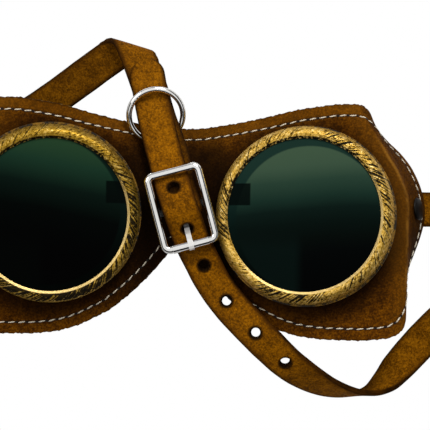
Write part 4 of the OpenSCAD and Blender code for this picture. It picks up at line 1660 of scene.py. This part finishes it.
@dataclass
class BuckleStrap(Strap):
    """The strap that folds round the buckle's middle bar and ends at the left wing.

    fold_hole and fold_seat are the radius and length of what is cut for the rivet that closes the fold.
    """

    holes_above: Sequence[Array] = ()
    fold_reach: float = 51.6
    fold_r: float = 3.0
    fold_axis: float = 164.0
    fold_slant: float = 51.4
    fold_aside: float = -1.4
    fold_drop: float = 0.9
    run_azimuth: float = 215.5
    rivet_depth: float = 5.2
    slot: tuple[float, float, float] = (7.4, 2.9, 7.4)
    slot_back: float = -0.3
    fold_rivet: tuple[float, float] = (-16.6, 0.6)
    fold_hole: tuple[float, float] = (1.3, 9.0)
    fold_seat: tuple[float, float] = (2.4, 3.0)
    seat_floor: float = 0.9

    def fold_station(self, turn: float) -> Array:
        """A station of the half turn that the strap makes beyond its tip end.

        Args:
            turn: how far round it is, in degrees.

        Returns: the station.
        """
        b, u = self.buckle, -self.fold_reach
        top = b.point(u, self.fold_aside, b.sloped(b.main_low, u) - self.fold_drop)
        axis, angle = math.radians(self.fold_axis), math.radians(turn)
        slide = self.fold_r * angle / math.tan(math.radians(self.fold_slant))
        out = self.fold_r * math.sin(angle)
        x = top[0] + math.cos(axis) * slide + math.sin(axis) * out
        y = top[1] + math.sin(axis) * slide - math.cos(axis) * out
        return station((x, y, top[2] - self.fold_r * (1 - math.cos(angle))), self.fold_axis - 180, 0, b.main_t)

    def stations(self) -> list[Array]:
        """Returns: stations from the pared end under the bar to the left wing."""
        b, t, thin = self.buckle, self.buckle.main_t, self.buckle.pared_t
        rivet_s, rivet_y = self.leather.rivet_s, self.leather.rivet_y
        under = (
            (-20, 0.6, b.sloped(b.back_low, -20)), (-16, 0.6, b.sloped(b.back_low, -16)),
            (-b.bar_reach + 0.4, 0.6, b.back_low + 0.1), (-7.5, 0.7, mix(b.back_low, -b.wrap_r, 0.45)),
            (-3.4, 0.7, mix(b.back_low, -b.wrap_r, 0.88)),
        )
        angles = [math.radians(a) for a in range(-90, 91, 30)]
        over = (
            (-3, 0.7, mix(b.main_low, b.wrap_r, 0.72), thin),
            (-7.4, 0.7, mix(b.main_low, b.wrap_r, 0.28), thin + 0.2),
            (-b.bar_reach, 0.8, b.main_low, t, 0),
        )
        upper = (
            (-17.5, 1.1, 0, 0), (-24, 0.5, 0, 0), (-31, -0.1, 0, 0), (-38, -0.2, 0, 0), (-44, -0.6, 0.4, 6),
            (-48.5, -1, 0.75, 20),
        )
        end = self.fold_station(180)
        a = math.radians(self.run_azimuth)
        run = ((8, 8, -40), (18, 5, -53), (29, 2.4, -54.5))
        turning = (
            (-53.9, 30.4, 1.9, 216, 8), (-59, 25.6, 3.6, 220, 26), (-62.8, 20.4, 4.9, 226, 43),
            (-66.8, 15.4, 6, 234, 66), (-70.9, 10.6, 6.9, 244, 91),
        )
        depth = self.leather.back + self.wing_gap + t / 2
        wing = ((2, 4.6, 0.3), (0, 0, 0), (-2, -5.2, 0.1))
        return [
            *(b.station(*q, thin) for q in under),
            *(b.station(b.wrap_r * math.cos(k), 0.7, b.wrap_r * math.sin(k), thin) for k in angles),
            *(b.station(*q) for q in over),
            *(b.station(u, c, b.sloped(b.main_low, u) - low, t, turn) for u, c, low, turn in upper),
            *(self.fold_station(turn) for turn in range(0, 181, 30)),
            *(station((end[0] + k * math.cos(a), end[1] + k * math.sin(a), z), az, 0, t) for k, z, az in run),
            *(rolled(*q, t) for q in turning),
            *(self.wing_station(-(rivet_s + s), rivet_y + y, (1, -2.6), depth + d, t) for s, y, d in wing),
        ]

    def build(self) -> None:
        """Makes the strap, with the prong's slot and the holes of its rivets."""
        b = self.buckle
        ribbon = Ribbon(smooth_run(self.stations()), b.width)
        look = StrapFinish("buckle_strap_finish", False, ribbon.far[-1] * MM, self.holes_above, b).material()
        obj = self.body("buckle_strap_leather", ribbon, look)
        bpy.ops.mesh.primitive_cube_add(size=1)
        slot = named("slot")
        slot.scale = tuple(size * MM for size in self.slot)
        slot.rotation_euler = (0, 0, math.radians(b.turn))
        slot.location = Vector((b.middle + b.u * self.slot_back) * MM)
        slot.data.materials.append(self.inside)
        tilt = math.radians(b.slope)
        up = np.array([-b.u[0] * math.sin(tilt), -b.u[1] * math.sin(tilt), math.cos(tilt)])
        spot = b.point(*self.fold_rivet, b.sloped(b.main_low, self.fold_rivet[0]))
        punches = (
            Punch("punch_left", *self.leather.rivet(Side.LEFT, self.rivet_depth), self.rivet_hole_r, self.rivet_cut),
            Punch("punch_fold", spot - up * (self.fold_hole[1] / 3), up, *self.fold_hole),
            Punch("seat_fold", spot + up * (b.main_t / 2 + self.seat_floor), up, *self.fold_seat),
        )
        cut(obj, [slot, *(punch.tool(self.inside) for punch in punches)], self.sharp)
        add_piece(obj, "strap", "buckle_strap")


@dataclass
class Hardware:
    """The CAD nodes that stay visible: cups, lenses, rivets, buckle and keeper."""

    buckle: Buckle

    def cup_finishes(self) -> dict[str, Finish]:
        """Returns: the finish of each bezel and lens, whose wear and light follow the picture."""
        bezels = (
            BezelFinish(
                "bezel_right_finish", Side.RIGHT,
                ((0.36, "#77540e"), (0.46, "#b5892a"), (0.54, "#d9b152"), (0.64, "#fae5ac")),
                (
                    (50, 32, 1.1), (8, 30, 0.9), (-40, 24, 0.8), (-98, 32, 1.3), (178, 28, 1.1), (130, 20, 0.6),
                ),
            ),
            BezelFinish(
                "bezel_left_finish", Side.LEFT,
                ((0.36, "#4d3807"), (0.46, "#8c6916"), (0.54, "#b48e2f"), (0.64, "#e9cd84")),
                (
                    (30, 28, 0.9), (-6, 26, 1.3), (-55, 36, 1.5), (-98, 32, 1.7), (-140, 26, 1.0), (150, 24, 0.5),
                ),
            ),
        )
        right_light = (
            (0.0, "#010202"), (0.17, "#020404"), (0.3, "#040907"), (0.46, "#06100d"), (0.6, "#0a1814"),
            (0.72, "#162b23"), (0.86, "#253b2f"), (0.95, "#374c3b"), (1.0, "#3b503d"),
        )
        left_light = ((0.0, "#010101"), (0.3, "#020504"), (0.55, "#081510"), (0.8, "#183224"), (1.0, "#274229"))
        lenses = (
            LensFinish(
                "lens_right_finish", Side.RIGHT, -0.1, (-0.024, 0.022), right_light, 0.00105, -0.0012,
                "#132a25", "#081512",
            ),
            LensFinish(
                "lens_left_finish", Side.LEFT, 0.18, (-0.016, 0.029), left_light, -0.0009, 0.0003,
                "#0a1a15", "#020403",
            ),
        )
        return {finish.name.removesuffix("_finish"): finish for finish in (*bezels, *lenses)}

    def build(self) -> None:
        """Puts the finishes on the nodes."""
        finishes: dict[str | tuple[str, ...], Finish] = {
            **self.cup_finishes(),
            self.both("base_ring"): BaseRingFinish(),
            self.both("eyecup"): SatinFinish("eyecup_finish", "#111110", "#242321", 0.5),
            self.both("lens_gasket"): SatinFinish("gasket_finish", "#0b0b0b", "#1c1b1a", 0.8),
            "nose_bridge": SatinFinish("bridge_finish", "#101010", "#262422", 0.7),
            self.both("rivet_cap"): SatinFinish("cap_finish", "#0d0a08", "#2c2013", 0.38, 0.3),
            self.both("rivet_post"): SatinFinish("post_finish", "#8d8a84", "#b5b2ab", 0.35, 0.9),
            "buckle_frame": NickelFinish("buckle_finish", self.buckle),
            ("fold_rivet", "buckle_roller", "keeper_ring"): NickelFinish("nickel_finish"),
            "buckle_prong": NickelFinish("prong_finish", dull=0.4),
        }
        for names, finish in finishes.items():
            material = finish.material()
            for name in (names,) if isinstance(names, str) else names:
                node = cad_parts[name]
                node.data.materials.clear()
                node.data.materials.append(material)
                log.info("finish %s on %s", finish.name, name)

    @staticmethod
    def both(word: str) -> tuple[str, ...]:
        """Names of a node on both sides."""
        return tuple(f"{word}_{side.word}" for side in Side)


# Stage

@dataclass(frozen=True)
class Lamp:
    """One soft round lamp."""

    name: str
    place: tuple[float, float, float]
    size: float
    power: float
    colour: tuple[float, float, float] = (1.0, 1.0, 1.0)

    def build(self, aim: Vector) -> None:
        """Adds the lamp.

        Args:
            aim: the point that it is turned to.
        """
        bpy.ops.object.light_add(type="AREA", location=self.place)
        light = bpy.context.active_object
        light.name = f"lamp_{self.name}"
        light.data.shape = "DISK"
        light.data.size = self.size
        light.data.energy = self.power
        light.data.color = self.colour
        light.rotation_mode = "QUATERNION"
        light.rotation_quaternion = (Vector(self.place) - aim).to_track_quat("Z", "Y")


@dataclass(frozen=True)
class Studio:
    """Lamps, sky, white floor and the picture's camera, straight above the goggles.

    The sky's dark bands lie round points out to the sides and below, each from its outer to its inner
    distance.
    """

    lamps: tuple[Lamp, ...] = (
        Lamp("key", (0.18, 0.52, 0.5), 0.3, 3.4, (1.0, 0.985, 0.96)),
        Lamp("fill", (-0.5, 0.2, 0.5), 0.4, 1.2),
    )
    aim: tuple[float, float, float] = (0.01, 0, 0.01)
    floor_size: float = 6
    floor_z: float = -0.0002
    camera_place: tuple[float, float, float] = (11.93 * MM, -0.06 * MM, 0.625)
    camera_roll: float = math.atan2(0.01705, 0.99985)
    focal_length: float = 155.2
    sensor: float = 36
    clip: tuple[float, float] = (0.05, 20)
    band_out: float = 0.84
    band_up: float = 0.5
    band_below: tuple[float, float] = (0.46, 0.34)
    band_beside: tuple[float, float] = (0.34, 0.22)

    def build(self) -> None:
        """Builds the stage."""
        for lamp in self.lamps:
            lamp.build(Vector(self.aim))
        self.add_sky()
        self.add_floor()
        self.add_camera()

    def add_sky(self) -> None:
        """Adds a pale sky with dark bands for the metal to show, which the camera sees as white."""
        world = bpy.data.worlds.new("studio")
        bpy.context.scene.world = world
        world.use_nodes = True
        g = Graph(world.node_tree, "OutputWorld")
        x, y, z = g.split(g.place("Generated"))
        tone = g.ramp(z, [
            (0.0, "#303030"), (0.1, "#cbcbcb"), (0.28, "#e0e0e0"), (0.34, "#303030"), (0.5, "#383838"),
            (0.57, "#e1e1e1"), (0.8, "#eeeeee"),
        ])
        out, up = self.band_out, (z - self.band_up) ** 2.0
        below = ((y + out) ** 2.0 + up) ** 0.5
        beside = ((abs(x) - out) ** 2.0 + up) ** 0.5
        dark = below.step(*self.band_below).at_least(beside.step(*self.band_beside))
        tone = g.blend(dark * 0.96, tone, "#0c0c0c")
        g.close(g.node("Background", {}, {"Color": g.blend(g.camera_ray(), tone, "#ffffff")}))

    def add_floor(self) -> None:
        """Adds a pale floor that the camera sees as plain white."""
        bpy.ops.mesh.primitive_plane_add(size=self.floor_size, location=(0, 0, self.floor_z))
        floor = named("floor")
        g = Graph.named("floor_finish")
        glow = g.node("Emission", {}, {"Color": (1, 1, 1, 1)})
        matt = g.node("BsdfDiffuse", {}, {"Color": (0.7, 0.7, 0.7, 1)})
        g.close(g.node("MixShader", {}, {0: g.camera_ray(), 1: matt.outputs[0], 2: glow.outputs[0]}))
        floor.data.materials.append(g.material)
        floor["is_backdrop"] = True

    def add_camera(self) -> None:
        """Adds the camera."""
        bpy.ops.object.camera_add(location=self.camera_place)
        camera = bpy.context.active_object
        camera.name = "camera"
        camera.data.lens = self.focal_length
        camera.data.sensor_width = self.sensor
        camera.data.clip_start, camera.data.clip_end = self.clip
        camera.rotation_euler = (0, 0, self.camera_roll)
        bpy.context.scene.camera = camera


def main() -> None:
    """Builds everything around the frame."""
    logging.basicConfig(level=logging.INFO, format="%(name)s: %(message)s")
    bpy.context.scene.view_settings.view_transform = "Standard"
    leather, buckle = Leather(), Buckle()
    stitching = Stitching(leather, inset=3.75)
    inside = PlainHideFinish("hole_finish", HOLE_HIDE, 0.0001).material()
    tip_strap = TipStrap(leather, buckle, inside)
    under_holes = [spot[0] for spot in tip_strap.holes[:2]]
    parts = (
        Hardware(buckle),
        Mask(leather, stitching.inset, PlainHideFinish("cut_edge_finish", CUT_HIDE, 0.0002).material()),
        stitching,
        tip_strap,
        BuckleStrap(leather, buckle, inside, holes_above=under_holes),
        Studio(),
    )
    for part in parts:
        log.info("building %s", type(part).__name__)
        part.build()
    boxes = {"cad": [list(c) for c in cad_box], "visual": [list(c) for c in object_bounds()]}
    for name, box in boxes.items():
        log.info("%s box %s", name, [[round(v / MM, 1) for v in corner] for corner in box])


if __name__ == "__main__":
    main()
